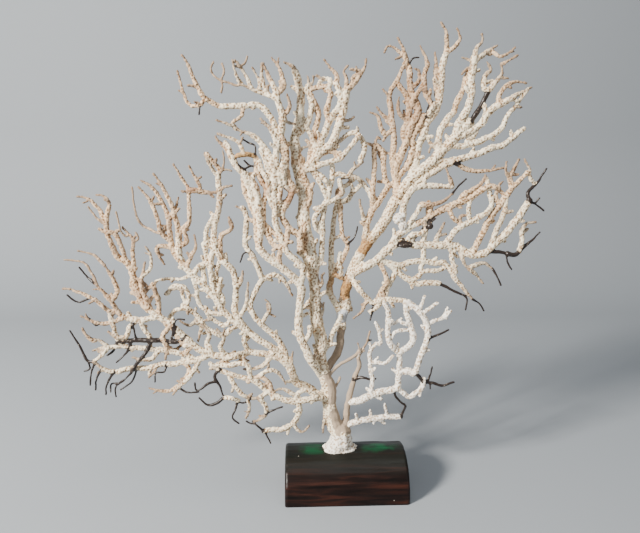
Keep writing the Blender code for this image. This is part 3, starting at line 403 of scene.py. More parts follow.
    "far_left_bough": """
4.6 4.4: -77,118 -87,115 -97,113 -107,115 -116,119 -124,125 -132,133 -140,141 -149,148 -157,153
4.2 4 tan: -157,153 -163,161 -166,172 -168,183 -171,191 -178,195
3.8 2 tan: -178,195 -183,206 -186,217 -185,228 -182.5,237 -186,243 -192,244
3 1.8 tan: -186,219 -189,229 -194,238 -200,242 -207,243
2.4 1.6 dun: -187,221 -193,226 -199,235
3.2 2.6 tan: -186,216 -180,214 -176,206 -173,196 -171,188
3.6 2 tan: -160,157 -165,166 -169,173 -167,186 -167,200 -166,208 -170,215 -174,219
2 1.4 dun: -172,212 -176,218 -178,231
2.8 2 dun: -166,208 -162,210 -164,215
3.4 2.4 tan: -155,152 -158,162 -162,172 -160,183 -158,192
2.4 1.6: -160,180 -154,186 -153,196 -157,204
4 3.4: -149,148 -160,146 -171,146 -179,149
3.4 2.2 tan: -179,149 -185,158 -190,166 -198,175
2.6 1.6 bare: -198,175 -205,183 -209,188
3.2 2.6 tan: -186,160 -181,169 -184,180 -189,189
2.8 1.8 dun: -189,189 -197,197 -209,201
2.4 1.6 dun: -196,173 -200,184 -206,192 -220,194
3 1.8 tan: -180,151 -190,154 -197,161 -206,166 -215,170 -223,171
2 1.4 bare: -203,163 -212,160 -220,166
3.2 1.8 tan: -176,147 -188,143 -199,144 -211,149
1.8 1.4 bare: -196,144 -199,141 -204,147
4 3.6: -110,116 -119,112 -129,110 -140,108 -150,108 -159,105 -169,105
3.6 2.8: -169,105 -179,104 -187,102 -196,105 -203,111
2.8 1.6 bare: -203,111 -208,112 -213,124 -220,137
2.2 1.4 bare: -202,110 -205,103 -206,97 -207,91
2 1.4 bare: -208,111 -206,105 -211,103
2.4 1.4 bare: -197,105 -201,97 -203,87
2.6 1.4 bare: -187,102 -193,93 -195,83
3.6 3.2: -122,112 -131,116 -142,119 -154,121 -167,122 -180,124
3.2 2.4: -180,124 -190,122 -196,116 -203,111
4.4 4 bare: -133,127.5 -144,127 -156,128.5 -169,128 -183,127.5
2.8 1.8 bare: -183,127.5 -187,120 -192,116
2.6 2 bare: -168,128 -169,135 -170.5,142
2.8 1.6 bare: -172,128 -176,119 -185,110
3.6 2.6 bare: -156,128 -161,119 -168,110 -173,102 -180,95
2.4 1.4 bare: -180,95 -187,89 -187,81
2 1.4 bare: -183,92 -190,92 -191,85
2.4 1.6 bare: -141,128 -138,136 -136,145 -129,145
3.4 2.8 tan: -131,117 -125,124 -133,127.5
3.4 2.8: -180,124 -184,133 -186,142 -188,151
3.2 2.6 tan: -149,148 -143,139 -147,131 -144,122 -146,112
3.2 2.6: -165,146 -162,138 -157,131 -158,121
3.4 2: -118,112 -122,104 -129,95 -136,88 -141,82
3 2 tan: -131,110 -127,103 -131,95 -137,89 -146,85 -160,88
2.4 1.6 bare: -137,89 -130,84 -120,84
2.6 1.6 tan: -152,107 -156,101 -160,97
2 1.4 bare: -169,104 -172,96 -176,91 -183,87
2 1.4 bare: -145,108 -147,102 -154,101 -155,93
3.4 3 tan: -82,117 -87,109 -94,106 -101,109
3.2 2.8: -95,113 -101,121 -99,130 -104,137
3.4 2.8: -108,116 -112,125 -110,134 -116,141
3.2 2.6 tan: -140,140 -136,132 -131,125 -124,124
3.2 2.6: -150,120 -156,113 -164,112 -172,114
3.4 2.6 tan: -166,172 -160,168 -154,172 -150,168
3.2 2.6: -165,146 -173,139 -176,132 -184,131 -190,136
3 2.6: -190,122 -196,128 -202,130
3 2.6 tan: -153,174 -151,167 -149,159 -149,150
3 2.6 tan: -201,128 -207,133 -210,139
3.2 2.6: -190,121 -197,122 -203,120
""",
    "low_left_bough": """
4.4 4: -12,78 -22,77 -32,76 -42,75 -52,77 -60,81 -67,87 -74,93
3.6 3: -74,93 -84,96 -94,99 -102,103 -110,108
3.2 2.8: -70,90 -77,96 -79,106 -88,108 -96,106 -104,108
3 2.4: -74,93 -68,99 -60,102 -54,98 -49,90
3.2 2.8: -96,100 -91,90 -85,82 -78,78 -71,78
3.2 2.6: -71,78 -66,71 -66,64 -71,59 -76,58
3.6 3: -63,84 -68,80 -71,78
2.6 1.8 bare: -66,64 -60,67.5 -52,70
3.8 3.4: -40,75 -38,67 -41,59 -46,53 -54,50 -62,50 -68,49
2.2 1.6 bare: -68,49 -73,54 -77,58
2 1.4 bare: -67,49 -65,44 -62,38
2 1.4 bare: -74,56 -79,56 -82,58
2.4 1.8: -42,56 -40,50 -35,48 -30,53
2.8 2.2 bare: -78,78 -84,74 -89,75
2.4 1.6 bare: -89,75 -91,68 -93,61 -88,56
2.2 1.6: -80,76 -79,69 -82,61
3 2.2 bare: -102,103 -107,97 -103,89 -100,79
2.8 2.6: -100,79 -93,78 -88,76
3.2 2.2 bare: -100,79 -107,74 -114,73 -120,79
2.6 1.8 bare: -105,93 -112,91 -121,85 -123,92
3 2.4: -36,76 -44,82 -52,86 -58,84
3.2 2.6: -22,77 -27,83 -35,84 -40,80
3 2.6 tan: -60,81 -62,90 -70,96 -80,92
""",
    "right_bough": """
6.5 7 smooth: -16,101 -12,108 -7,115 -4.5,126 -4,136
7 7: -4,136 -3.5,147 0,154 -1,162 0,171 2,178 6,187 12,198 19,209 27,219 32,227 36,236
7 6: 36,236 42,246 50,256 60,264 69,273 77,281 85,290 94,299
4.4 3.2: -4,147 -8,156 -12,164 -13.5,171 -12,180 -12.5,192 -12,204 -11,217 -9.5,230 -7,238
3.6 3: -7,238 0,240 5,246 10,251
3.2 2.8 tan: -5,238 -5,227 -4,217 -3,210 1,205 -2,196 -6,187 -11,183
2.2 1.6 bare: 1,205 6,211 8.5,219
3.4 2.8 tan: -10,182 -4,178 1,177
4.6 3.6 tan: 14,201 15,212 16,223 21,233 27,242 33,250 40,255
3.6 3.2 tan: 20,232 20,244 20.5,256 21,268 20.5,279
3.6 3.2 tan: 33,250 29,258 28,267 28,275 24,281 20,281
2.6 2 tan: 20,281 14,283 11,280
2.4 1.8 tan: 21,281 23,288 25,286
3.2 2.8: 20,240 15,249 9,256 3,258 -5,256
3 2.4: 14,225 11,233 10,240
5.2 4.6 tan: 39,242 38,254 37,264 41,273 45,283 47,292 51,300 54,307
4.4 3.6 tan: 54,307 52,314 48,321 47,330 46,339
3.2 1.8 tan: 46,339 43,347 39,356 37,360
2.4 1.6 tan: 44,344 38,350 30,354 27,349
2.4 1.6 bare: 46,340 48,345 53,346
4.2 3.2 tan: 37,262 35,272 36,284 35,295 33,305 31.5,315 33,323
3 2 tan: 33,323 38,331 41,339 44,345
2.4 1.8 tan: 32,316 29,320 26,323
4.2 3.4 tan: 45,283 43,291 46,300 47,309 45,318 40,324 38,327
3 2.4 tan: 46,300 40,304 38,311 39,317
3 2.2 tan: 47,324 53,328 54,336 50,338
5.4 4.4: 49,255 52,266 54,277 57,286 60,294 60,300
4.2 4.2: 60,300 62,306 66,312
4.6 4: 60,298 65,304 69,312 70.5,322 70.5,332 71.5,342 74,350
3.2 1.8 tan: 74,350 74,358 73,365 69,371
3 1.8 tan: 74,350 80,354 84,360 81,367
3.6 2.4 tan: 69,314 67,322 66,332 66,342 65,350
3.6 3 tan: 64,312 60,319 58,326 58,334 60,341
3 1.8 tan: 60,341 57,348 54,354
3.2 2.6 tan: 54,307 49,313 53,320 57,327
4.6 4: 71,275 70,284 72,293 76,301 81,306
4 3 tan: 81,306 84,315 88,324 89,332
2.8 2.2: 70,284 65,281 63,276
2.6 2: 67,280 63,284 62,289
5 4.4: 83,288 85,297 89,304 93,312 94.5,321 93,331 95,341 95,346
3.4 2: 95,346 97,353 100.5,358 100,363
2.6 2: 95,341 90,345 86,346
2 1.4 tan: 89,332 91,339 86,334
3.6 2.4: 95,343 101,348 107,352 112,355
2.4 1.6 tan: 107,352 114,347 120,349 126,354
4.4 4 bare: 94,299 99,306 104,315 107,322
3.4 2.4: 107,322 112,328 117,334 116,341
2.6 1.6 tan: 116,341 121,344 128,348
3.6 2.8: 107,322 103,325 104,333 108,338 105,343
4.4 4.2: 80,284 89,289 97,293 103,298 107,305 113,310 122,315
3.8 2: 122,315 131,320 140,325
3.2 2 tan: 116,312 116,319 121,326 128,329 136,328
4.2 3.4: 79,282 88,281 97,283 107,287 115,291 120,296
3.2 2: 120,296 122,302 127,309 132,316 138,324
4.6 4: 66,270 78,269 90,272 101,275 110,279 120,281
3.8 3: 120,281 127,286 132,291 136,294
3.4 1.8 tan: 82,270 89,265 97,262 106,262 115,263 123,264.5
5 4.6: 44,247 55,254 66,261 77,267 86,270
4.4 3.8 tan: 38,256 46,266 50,277 50,287 55,297 58,304
3.2 2.6 tan: 35,293 29,290 25,295 23,303 17,306
3 2.4 tan: 34,301 28,303 22,310
3.4 3: -8,238 -7,247 0,252 6,257
3.2 2.8: 100,297 98,290 92,285
3 2.6 tan: 49,290 54,292 57,300
2.8 2.6 bare: 20,145 20.5,150 22,156
1.8 1.6 bare: 60,303 61,308 64,314
2.6 2.4 dun: 22,278.5 27,276.5 32,275.5
3 2.6: -4,182 -6,190 -5,198
3.2 2.6: 4,152 0,158 -2,164
""",
    "outer_right_bough": """
5.6 5.4: 3,181 10,185 18,188 25,193 31,199 37,204
5.2 5: 37,204 46,207 56,204 67,204 78,204 88,203
5 4.6: 88,203 95,198 104,196 112,198 118,205 126,213 133,222 139,231 144,239
3.6 1.6 bare: 144,239 142,245 148,252 153,259 156,264
2.6 1.6: 147,252 143,257 142,264 138,271
4.4 4: 34,202 39,211 47,216 54,221
4.4 4.6 tan: 54,221 60,223 69,229 79,234 89,238 97,241
3.8 3 tan: 97,241 104,246 111,250 119,249
3.4 2.6 tan: 88,238 92,244 100,248 105,253 108,259
3.4 3: 46,217 53,226 58,236
3.6 2.2 tan: 58,236 67,236 75,238 82,244
2.2 1.4 bare: 82,244 88,251 93,256
4.4 4.2: 44,218 44,229 46,240 52,249
4 3.4: 52,249 62,251 72,250 82,250
3 2.4 tan: 82,250 80,257 77,264
3.4 3: 60,205 62,213 62,222
3.4 2.4: 70,205 73,213 77,222
4 3.6: 79,205 84,213 91,219 99,223 110,229
3.2 2.8 tan: 90,219 89,226 95,228
3 2.6: 97,223 96,232 97,240
4 3.8 tan: 101,198 105,207 109,216 114,226 120,235 125,242
3.8 2.4 tan: 125,242 129,249 127,257 130,264 134,271
2.8 2 tan: 127,257 124,262 124,269
3.4 2.6 tan: 129,249 135,254 141,261
3.6 3: 114,200 118,212 122,222 125,232 125,242
3 2.4 tan: 120,235 117,243 119,251 122,254
2.6 2 tan: 120,247 124,243
3.4 3 bare: 112,199 120,198.5 128,197
4.4 2 bare: 128,197 135,196 141,201 148,208 154,214
2 1.2 bare: 128,197 129,190 133,184
3.4 2.6: 138,198 140,208 139,215 143,221 150,222
2.6 1.4 bare: 144,238 149,236 156,231
2 1.4 bare: 148,236 152,241
4 3.6: 24,192 33,190 41,188 50,190 60,191 70,190 78,190
3.4 2.6: 78,190 83,184 89,175 96,167 102,160
2.4 1.4 bare: 102,160 108,156 112,150
3.4 3: 61,204 61,196 61,189
3 2.6: 61,190 60,184 67,183 75,184 80,187
3.4 2.8: 87,203 84,195 86,188 88,182
3.4 2.8: 91,200 93,191 98,185
3 1.6: 98,185 104,180 110,173
3.2 2.8: 98,185 104,188 111,189 117,185
2.4 1.4 bare: 117,185 121,179 125,171
4.2 3.6: 33,190 41,183 49,177 57,173 66,174 75,173
3 1.6 bare: 75,173 84,168 93,164 98,160 97,151
3.4 2.8: 53,176 59,180 60,184
3.8 3.4: 40,184 36,175 31,168 26,161 22,157
3.2 2.8 tan: 25,191 30,183 32,175 28,167 25,160
3.6 3.2: 3,181 8,172 14,164 20,158
3.8 3.4: 22,157 30,160 38,160 47,159
2 1.4 bare: 22,157 21,150 19.5,143
2.6 1.8 tan: 17,160 15,155 12,150 6,145
3.4 3: 47,205 52,212 60,214 66,221
3.2 2.8 tan: 64,226 66,233 64,238
3.2 2.6 tan: 79,234 84,226 88,222
3.2 2.8: 110,229 114,236 112,246 109,256
2.6 2.2 bare: 45,205 52,208.5 58,214 61,218 66,223
2 1.6 bare: 62,219 70,225
3 2.6: 19,150 26,155 31,163 33,171
""",
    "low_right_bough": """
4.8 4.4: 2.5,73 12,75 20,78 28,81.5 36,83 43,85
4.4 3.6: 43,85 44,97 44.5,110 44,116
4 3.2: 44,116 38,121 34,130 34.5,141 34,151 31,157
4.2 3.4: 44,116 52,121 55,128 52,140 49,150 48,158
4.6 3.8: 45,99 52,99.5 57,98 60,107 64,118 67,130 64,144 56,153 50,158
2.8 2: 65,138 72,142 79,144 85,150
2.4 1.6: 77,143 80,147 82,153
2.6 2: 61,148 68,153 74,157
2.4 1.6: 59,150 61,156 63.5,163
2.6 1.6 bare: 67,127 75,130 84,134.5
2.6 2.2: 36,126 42,134 52,134.5
2.2 1.8: 35,139 40,141 45,144
3.6 3: 64,94 64,86 58,80 53,77 48,81 43,85
3.4 2 bare: 57,98 61,95 65,90 72,89 80,87 90,89.5
2 1.4 bare: 68,90 70,97 71.5,103
1.8 1.4 bare: 70,89 70.5,84
2.4 1.8 bare: 40,83 42,77 47,72 50,70 49,65 46.5,60
2 1.8: 66,125 64,118 61,111
3 2.4: 20,78 22.5,93 20.5,100 20,108 20,116 24,123 28,124 27,133 24,141
2.6 2: 20,108 26,107 33,107 39,113
""",
    "lowest_right_bough": """
4.4 3.6: 0,52 12,57 20,58 30,59 37,60 46.5,60
2.6 2 bare: 46.5,60 49,65 50.5,69
2.4 1.8: 10,57 9,63
2.4 1.8: 22,58 20.5,66
2.4 1.8: 36,60 34,65 33,71
2.4 1.8: 24,58 24,54
""",
}


def mix(a, b, t):
    return a + (b - a) * t


def smooth_step(t):
    t = min(max(t, 0.0), 1.0)
    return t * t * (3.0 - 2.0 * t)


def parse(line):
    """Reads one line of the table into widths, surface and points."""
    widths, route = line.split(":")
    base, tip, *named = widths.split()
    points = []
    for pair in route.split():
        x, z = pair.split(",")
        points.append((float(x), float(z)))
    return float(base), float(tip), named[0] if named else "cream", points


def nearest(point, lines):
    """The closest place on earlier centre lines, as (distance, x, depth, z)."""
    best = None
    for line in lines:
        for a, b in zip(line, line[1:]):
            dx, dz = b[0] - a[0], b[2] - a[2]
            length = dx * dx + dz * dz or 1.0
            t = ((point[0] - a[0]) * dx + (point[1] - a[2]) * dz) / length
            t = min(max(t, 0.0), 1.0)
            x, y, z = (a[k] + (b[k] - a[k]) * t for k in range(3))
            gap = ((point[0] - x) ** 2 + (point[1] - z) ** 2) ** 0.5
            if best is None or gap < best[0]:
                best = (gap, x, y, z)
    return best


def curved(points):
    """A smooth line through the points, with a point about every ring step."""
    found = []
    for k in range(len(points) - 1):
        a = Vector(points[max(k - 1, 0)])
        b = Vector(points[k])
        c = Vector(points[k + 1])
        d = Vector(points[min(k + 2, len(points) - 1)])
        steps = max(1, round((c - b).length / RING_STEP))
        for s in range(steps):
            t = s / steps
            found.append(0.5 * ((2 * b) + (c - a) * t + (2 * a - 5 * b + 4 * c - d) * t * t
                                + (3 * b - a - 3 * c + d) * t ** 3))
    found.append(Vector(points[-1]))
    return found


def joined(points, lines, depth):
    """Starts a route on the nearest earlier line within reach, and says at what depth it starts."""
    found = nearest(points[0], lines) if lines else None
    if not found or found[0] >= JOIN_REACH:
        return points, depth
    start = (found[1], found[3])
    rest = points if found[0] > OPEN_GAP else points[1:]
    return [start] + rest, found[2]


def lay_branch(text, index, depth, slot, mothers, lines):
    """One branch's centre line (x, depth, z), its widths and its surface."""
    base, tip, surface, points = parse(text)
    points, start_depth = joined(points, lines if index else mothers, depth)
    own_depth = depth + DEPTH_OFFSETS[index % len(DEPTH_OFFSETS)]
    end = nearest(points[-1], lines) if index else None
    free = not (end and end[0] < END_REACH)
    end_depth = own_depth if free else end[2]
    full = 1.0 if surface in PLAIN else FULLNESS
    tapers = tip < TAPER_BELOW and surface != "smooth" and free and slot != "white_rind"
    fine = curved(points)
    total = sum((b - a).length for a, b in zip(fine, fine[1:]))
    ramp_in = min(RAMP, total * RAMP_IN)
    ramp_out = min(RAMP, total * RAMP_OUT)
    along = 0.0
    line = []
    widths = []
    for k, (x, z) in enumerate(fine):
        if k:
            along += (fine[k] - fine[k - 1]).length
        y = start_depth + (own_depth - start_depth) * smooth_step(along / ramp_in)
        y += (end_depth - own_depth) * smooth_step((along - total + ramp_out) / ramp_out)
        line.append((x, y, z))
        width = (base + (tip - base) * along / total) * full
        if tapers:
            width *= mix(TAPER_TO, 1.0, smooth_step((total - along) / TAPER_LENGTH))
        widths.append(max(width, THINNEST))
    return line, widths, surface


def lay_out():
    """Gives every branch its centre line, widths and surface, bough by bough."""
    laid = {}
    for name, (parent, depth, slot) in BOUGHS.items():
        mothers = [branch[0] for branch in laid[parent]] if parent else []
        lines = []
        branches = []
        for index, text in enumerate(ROUTES[name].strip().splitlines()):
            branch = lay_branch(text, index, depth, slot, mothers, lines)
            lines.append(branch[0])
            branches.append(branch)
        laid[name] = branches
    return laid


def placed(point):
    """Slides a point to its depth along the line of sight, in millimetres."""
    flat = Vector((point[0], 0.0, point[2]))
    return EYE + (flat - EYE) * ((point[1] - EYE.y) / -EYE.y)


def wandering(points, seed):
    """Lets the middle of a branch stray a little, as grown wood does."""
    found = []
    last = len(points) - 1
    for k, point in enumerate(points):
        hold = min(1.0, k / HELD_RINGS, (last - k) / HELD_RINGS)
        stray = noise.noise_vector(point * 0.11 + Vector((seed, 0, 0)))
        stray += 0.5 * noise.noise_vector(point * 0.31 + Vector((0, seed, 0)))
        found.append(point + stray * (WANDER * hold))
    return found


def bud(start, way, length, thick, surface):
    """One side bud: its centre line, widths and surface."""
    count = max(3, round(length / RING_STEP))
    line = []
    widths = []
    for j in range(count + 1):
        rise = Vector((0, 0, BUD_RISE * j / count))
        line.append(tuple(start + way * (length * j / count) + rise))
        widths.append(thick * (1.0 - BUD_THINS * j / count))
    return line, widths, surface


def budded(branches, seed):
    """Short side buds for the branches with rind, in no regular order."""
    dice = Random(seed)
    buds = []
    for line, widths, surface in branches:
        if surface not in BUDDING or len(line) < BUD_LEAST:
            continue
        along = dice.uniform(BUD_START, BUD_GAP[1])
        side = dice.choice((-1.0, 1.0))
        while along < (len(line) - BUD_LAST) * RING_STEP:
            k = int(along / RING_STEP)
            start = Vector(line[k])
            ahead = (Vector(line[k + 1]) - start).normalized()
            turn = radians(dice.uniform(*BUD_TURN)) * side
            lean = dice.uniform(-BUD_LEAN, BUD_LEAN)
            way = Vector((ahead.x * cos(turn) - ahead.z * sin(turn), lean,
                          ahead.x * sin(turn) + ahead.z * cos(turn)))
            length = widths[k] / 2.0 + dice.uniform(*BUD_LENGTH)
            thick = max(min(widths[k] * BUD_SHARE, BUD_WIDEST), THINNEST)
            buds.append(bud(start, way, length, thick, surface))
            along += dice.uniform(*BUD_GAP)
            side = -side if dice.random() < BUD_CHANGES_SIDE else side
    return buds


def close_rings(work, rings):
    """Joins rings of vertices into a closed tube."""
    count = len(rings[0])
    for low, high in zip(rings, rings[1:]):
        for s in range(count):
            n = (s + 1) % count
            work.faces.new((low[s], low[n], high[n], high[s]))
    work.faces.new(tuple(reversed(rings[0])))
    work.faces.new(tuple(rings[-1]))


def tube(work, points, widths, seed):
    """Adds a closed tube of slightly uneven rings, with a rounded tip."""
    tip = (points[-1] - points[-2]).normalized()
    points = points + [points[-1] + tip * widths[-1] * ahead for ahead, _ in TIP_RINGS]
    widths = widths + [widths[-1] * share for _, share in TIP_RINGS]
    across = None
    rings = []
    for k, point in enumerate(points):
        before = points[max(k - 1, 0)]
        after = points[min(k + 1, len(points) - 1)]
        ahead = (after - before).normalized()
        if across is None:
            across = ahead.cross(Vector((0.13, 1.0, 0.07))).normalized()
        across = (across - ahead * across.dot(ahead)).normalized()
        other = ahead.cross(across)
        swell = 1.0 + SWELL * noise.noise(point * 0.23 + Vector((seed, seed, 0)))
        radius = widths[k] / 2.0 * swell
        ring = []
        for s in range(SIDES):
            turn = 2.0 * pi * s / SIDES
            ring.append(work.verts.new((point + (across * cos(turn) + other * sin(turn)) * radius) * MM))
        rings.append(ring)
    close_rings(work, rings)


def foot(work):
    """Adds the lobed skirt with which the fan grips the block's crest."""
    rings = []
    for z, width, depth in FOOT_RINGS:
        ring = []
        for s in range(FOOT_SIDES):
            turn = 2.0 * pi * s / FOOT_SIDES
            lobe = 1.0 + 0.07 * cos(3.0 * turn + 0.6) + 0.05 * sin(5.0 * turn)
            lobe *= 1.0 + 0.08 * noise.noise(Vector((cos(turn), sin(turn), z * 0.1)) * 2.3)
            x = FOOT_CENTRE_X + cos(turn) * width / 2.0 * lobe
            ring.append(work.verts.new(Vector((x, sin(turn) * depth / 2.0 * lobe, z)) * MM))
        rings.append(ring)
    close_rings(work, rings)


def foot_samples():
    """Places round the foot's skirt, below its neck, that take the white surface."""
    around = 24
    found = []
    for k in range(around):
        turn = 2.0 * pi * k / around
        for z, width, depth in FOOT_RINGS[:4]:
            rim = Vector((FOOT_CENTRE_X + cos(turn) * width / 2, sin(turn) * depth / 2, z))
            found.append((rim, "white", 0.0))
    return found


def lump(work, kind, centre, size):
    """Adds a rounded lump, and gives the places in it that take its surface."""
    middle = placed(centre)
    scale = Matrix.Translation(middle * MM) @ Matrix.Diagonal(Vector(size) * 0.5 * MM).to_4x4()
    bmesh.ops.create_icosphere(work, subdivisions=3, radius=1.0, matrix=scale)
    found = []
    for turn in range(12):
        away = Vector((cos(turn), sin(turn * 1.7), sin(turn))) * 0.4
        found.append((middle + Vector(a * b for a, b in zip(away, size)), kind, 0.0))
    return found


def linked(name, mesh):
    """An object of the mesh, in the scene."""
    piece = bpy.data.objects.new(name, mesh)
    bpy.context.scene.collection.objects.link(piece)
    return piece


def mesh_of(name, work):
    """A mesh made of a working mesh, which it frees."""
    mesh = bpy.data.meshes.new(name)
    work.to_mesh(mesh)
    work.free()
    return mesh


def remeshed(name, work):
    """Turns a working mesh into one closed, lightly smoothed skin."""
    bmesh.ops.recalc_face_normals(work, faces=work.faces)
    piece = linked(name, mesh_of(name, work))
    skin = piece.modifiers.new("skin", "REMESH")
    skin.mode = "VOXEL"
    skin.voxel_size = VOXEL * MM
    skin.adaptivity = 0.0
    ease = piece.modifiers.new("ease", "SMOOTH")
    ease.factor = EASE
    ease.iterations = EASE_ROUNDS
    graph = bpy.context.evaluated_depsgraph_get()
    result = bpy.data.meshes.new_from_object(piece.evaluated_get(graph))
    piece.modifiers.clear()
    old = piece.data
    piece.data = result
    bpy.data.meshes.remove(old)
    result.name = name
    return piece


def keep_large(piece):
    """Removes crumbs that the skin left apart from the bough."""
    work = bmesh.new()
    work.from_mesh(piece.data)
    seen = set()
    crumbs = []
    for vertex in work.verts:
        if vertex in seen:
            continue
        body = [vertex]
        seen.add(vertex)
        for here in body:
            for edge in here.link_edges:
                there = edge.other_vert(here)
                if there not in seen:
                    seen.add(there)
                    body.append(there)
        if len(body) < CRUMB:
            crumbs.extend(body)
    bmesh.ops.delete(work, geom=crumbs, context="VERTS")
    work.to_mesh(piece.data)
    work.free()


def stained(colour, p, patch, tone):
    """The colour with the stains that reach the point."""
    edge = 1.6
    for (x, z), reach, stain, strength in STAINS:
        off = ((p.x - x) ** 2 + (p.z - z) ** 2) / (reach * reach)
        if off < edge:
            near = max(0.0, 1.0 - off / edge + 0.5 * patch)
            colour = mix(colour, Vector(stain) * 0.72 * tone, min(near * 1.5, 1.0) * strength)
    return colour


def rind_colour(colour, p, surface, tone, patch, rough, dome, lumpy, tipness):
    """Rind: tan in broad patches, stained in places, its own brown and painted shade in its pits and
    hollows, dark at fine tips.
    """
    broad = noise.noise(p * BROAD + Vector((3.1, 0, 7.7)))
    warm = min(max(0.30 * broad + 0.25 * patch + 0.10, 0.0), 0.6)
    if surface == "white":
        warm *= 0.3
    colour = stained(mix(colour, BODIES["tan"], warm), p, patch, tone)
    # Painted shade: the pits and the dips between lumps are darkened towards the pit colour.
    painted_shade = min((1.0 - dome) * 1.5 + max(-1.1 * lumpy - 0.15, 0.0), 1.0)
    painted_shade *= 0.92 + 0.4 * patch + 0.2 * rough
    colour = mix(colour, PIT_SHADE_AND_STREAK[surface], min(max(painted_shade, 0.0), 0.95))
    return mix(colour, FINE_TIP, 0.9 * tipness)


def bare_colour(colour, p):
    """Bare axis, dark, with a few pale specks of rind."""
    speck = noise.noise(p * SPECKS + Vector((9.0, 2.0, 4.0)))
    if speck > 0.5:
        colour = mix(colour, BARE_SPECK, min((speck - 0.5) * 4.0, 0.7))
    return colour


def stem_colour(colour, p, surface, tipness):
    """Stems and thin dry twigs, streaked along their length, the twigs with patches of rind."""
    streak = noise.noise(Vector((p.x * 0.9, p.y * 0.9, p.z * 0.10)))
    colour = mix(colour, PIT_SHADE_AND_STREAK[surface], min(max(0.5 + 0.9 * streak, 0.0), 1.0) * 0.45)
    speck = noise.noise(p * PALE_PATCHES + Vector((4.0, 1.0, 4.0)))
    if surface == "dun" and speck > 0.15:
        colour = mix(colour, BODIES["tan"], min((speck - 0.15) * 3.0, 0.7) * (1.0 - tipness))
    return colour


def dress(piece, samples):
    """Raises the rind between its pits, and paints every vertex by the surface of the nearest sample."""
    mesh = piece.data
    tree = kdtree.KDTree(len(samples))
    for k, (place, _, _) in enumerate(samples):
        tree.insert(place, k)
    tree.balance()
    count = len(mesh.vertices)
    colours = np.ones((count, 4), np.float32)
    gloss = np.zeros(count, np.float32)
    moved = np.empty((count, 3), np.float32)
    for vertex in mesh.vertices:
        p = vertex.co * 1000.0
        k = tree.find(p + noise.noise_vector(p * WAVERING) * WAVER)[1]
        surface, tipness = samples[k][1], samples[k][2]
        cells = noise.voronoi(p / PIT_SPACING)[0]
        dome = smooth_step((cells[0] - PIT_MIDDLE) * PIT_SLOPE)
        rough = noise.noise(p * ROUGH)
        lumpy = noise.noise(p * LUMPY + Vector((5.0, 1.0, 2.0)))
        height = (RIND_HEIGHT * dome - PIT_DEPTH) * (0.8 + 0.4 * rough) + LUMP_HEIGHT * lumpy
        rise = SURFACES[surface][2] * height
        if surface == "smooth":
            rise += FLUTE_HEIGHT * noise.noise(Vector((p.x * 0.9, p.y * 0.9, p.z * 0.12)))
        moved[vertex.index] = (p + vertex.normal * rise) * MM
        patch = noise.noise(p * PATCHY)
        tone = 1.0 + 0.10 * patch + 0.08 * rough
        colour = BODIES[surface] * tone
        if surface in ("cream", "tan", "white", "ochre"):
            colour = rind_colour(colour, p, surface, tone, patch, rough, dome, lumpy, tipness)
        elif surface == "bare":
            colour = bare_colour(colour, p)
            gloss[vertex.index] = 1.0
        else:
            colour = stem_colour(colour, p, surface, tipness)
        colours[vertex.index, :3] = colour
    mesh.vertices.foreach_set("co", moved.ravel())
    paint = mesh.attributes.new("rind_colour", "FLOAT_COLOR", "POINT")
    paint.data.foreach_set("color", colours.ravel())
    sheen = mesh.attributes.new("bareness", "FLOAT", "POINT")
    sheen.data.foreach_set("value", gloss)
    mesh.update()
    for polygon in mesh.polygons:
        polygon.use_smooth = True


def new_material(name):
    """A material, its node tree and its shader."""
    material = bpy.data.materials.new(name)
    material.use_nodes = True
    return material, material.node_tree, material.node_tree.nodes["Principled BSDF"]


def plug(tree, node, inputs):
    """Gives each named input of a node its link or its value."""
    for key, value in inputs.items():
        if isinstance(value, bpy.types.NodeSocket):
            tree.links.new(value, node.inputs[key])
        else:
            node.inputs[key].default_value = value


def added(tree, kind, inputs, **settings):
    """Adds a shader node with its settings and inputs, and gives its outputs."""
    node = tree.nodes.new("ShaderNode" + kind)
    for key, value in settings.items():
        setattr(node, key, value)
    plug(tree, node, inputs)
    return node.outputs


def spread(tree, value, low, high, to_low=0.0, to_high=1.0):
    """Maps a value from one range to another, and holds it there."""
    inputs = {"Value": value, "From Min": low, "From Max": high, "To Min": to_low, "To Max": to_high}
    return added(tree, "MapRange", inputs)["Result"]


def product(tree, a, b):
    return added(tree, "Math", {0: a, 1: b}, operation="MULTIPLY")["Value"]


def blend(tree, factor, under, over):
    """Lays a colour over another one by a factor."""
    inputs = {"Factor": factor, "A": under, "B": (*over, 1.0)}
    return added(tree, "Mix", inputs, data_type="RGBA")["Result"]


def ramp(tree, value, stops):
    """A colour ramp with the given (place, colour) stops."""
    node = tree.nodes.new("ShaderNodeValToRGB")
    while len(node.color_ramp.elements) < len(stops):
        node.color_ramp.elements.new(0.5)
    for element, (where, colour) in zip(node.color_ramp.elements, stops):
        element.position = where
        element.color = (*colour, 1.0)
    plug(tree, node, {"Fac": value})
    return node.outputs["Color"]


def bump(tree, height, strength, distance):
    inputs = {"Height": height, "Strength": strength, "Distance": distance}
    return added(tree, "Bump", inputs)["Normal"]


def rind_material(name):
    """Chalky rind and glossier bare axis, coloured by the mesh, with fine grain in colour and bump."""
    material, tree, surface = new_material(name)
    place = added(tree, "TexCoord", {})["Object"]
    colour = added(tree, "Attribute", {}, attribute_name="rind_colour")["Color"]
    bare = added(tree, "Attribute", {}, attribute_name="bareness")["Fac"]
    grain = added(tree, "TexNoise", {"Vector": place, "Scale": 1500.0, "Detail": 4.0})["Fac"]
    shade = spread(tree, grain, 0.3, 0.7, 0.78, 1.12)
    grained = added(tree, "VectorMath", {0: colour, "Scale": shade}, operation="SCALE")["Vector"]
    plug(tree, surface, {
        "Base Color": grained,
        "Roughness": spread(tree, bare, 0.0, 1.0, 0.92, 0.34),
        "Normal": bump(tree, grain, 0.35, 0.00025),
        "Specular IOR Level": 0.35,
    })
    return material


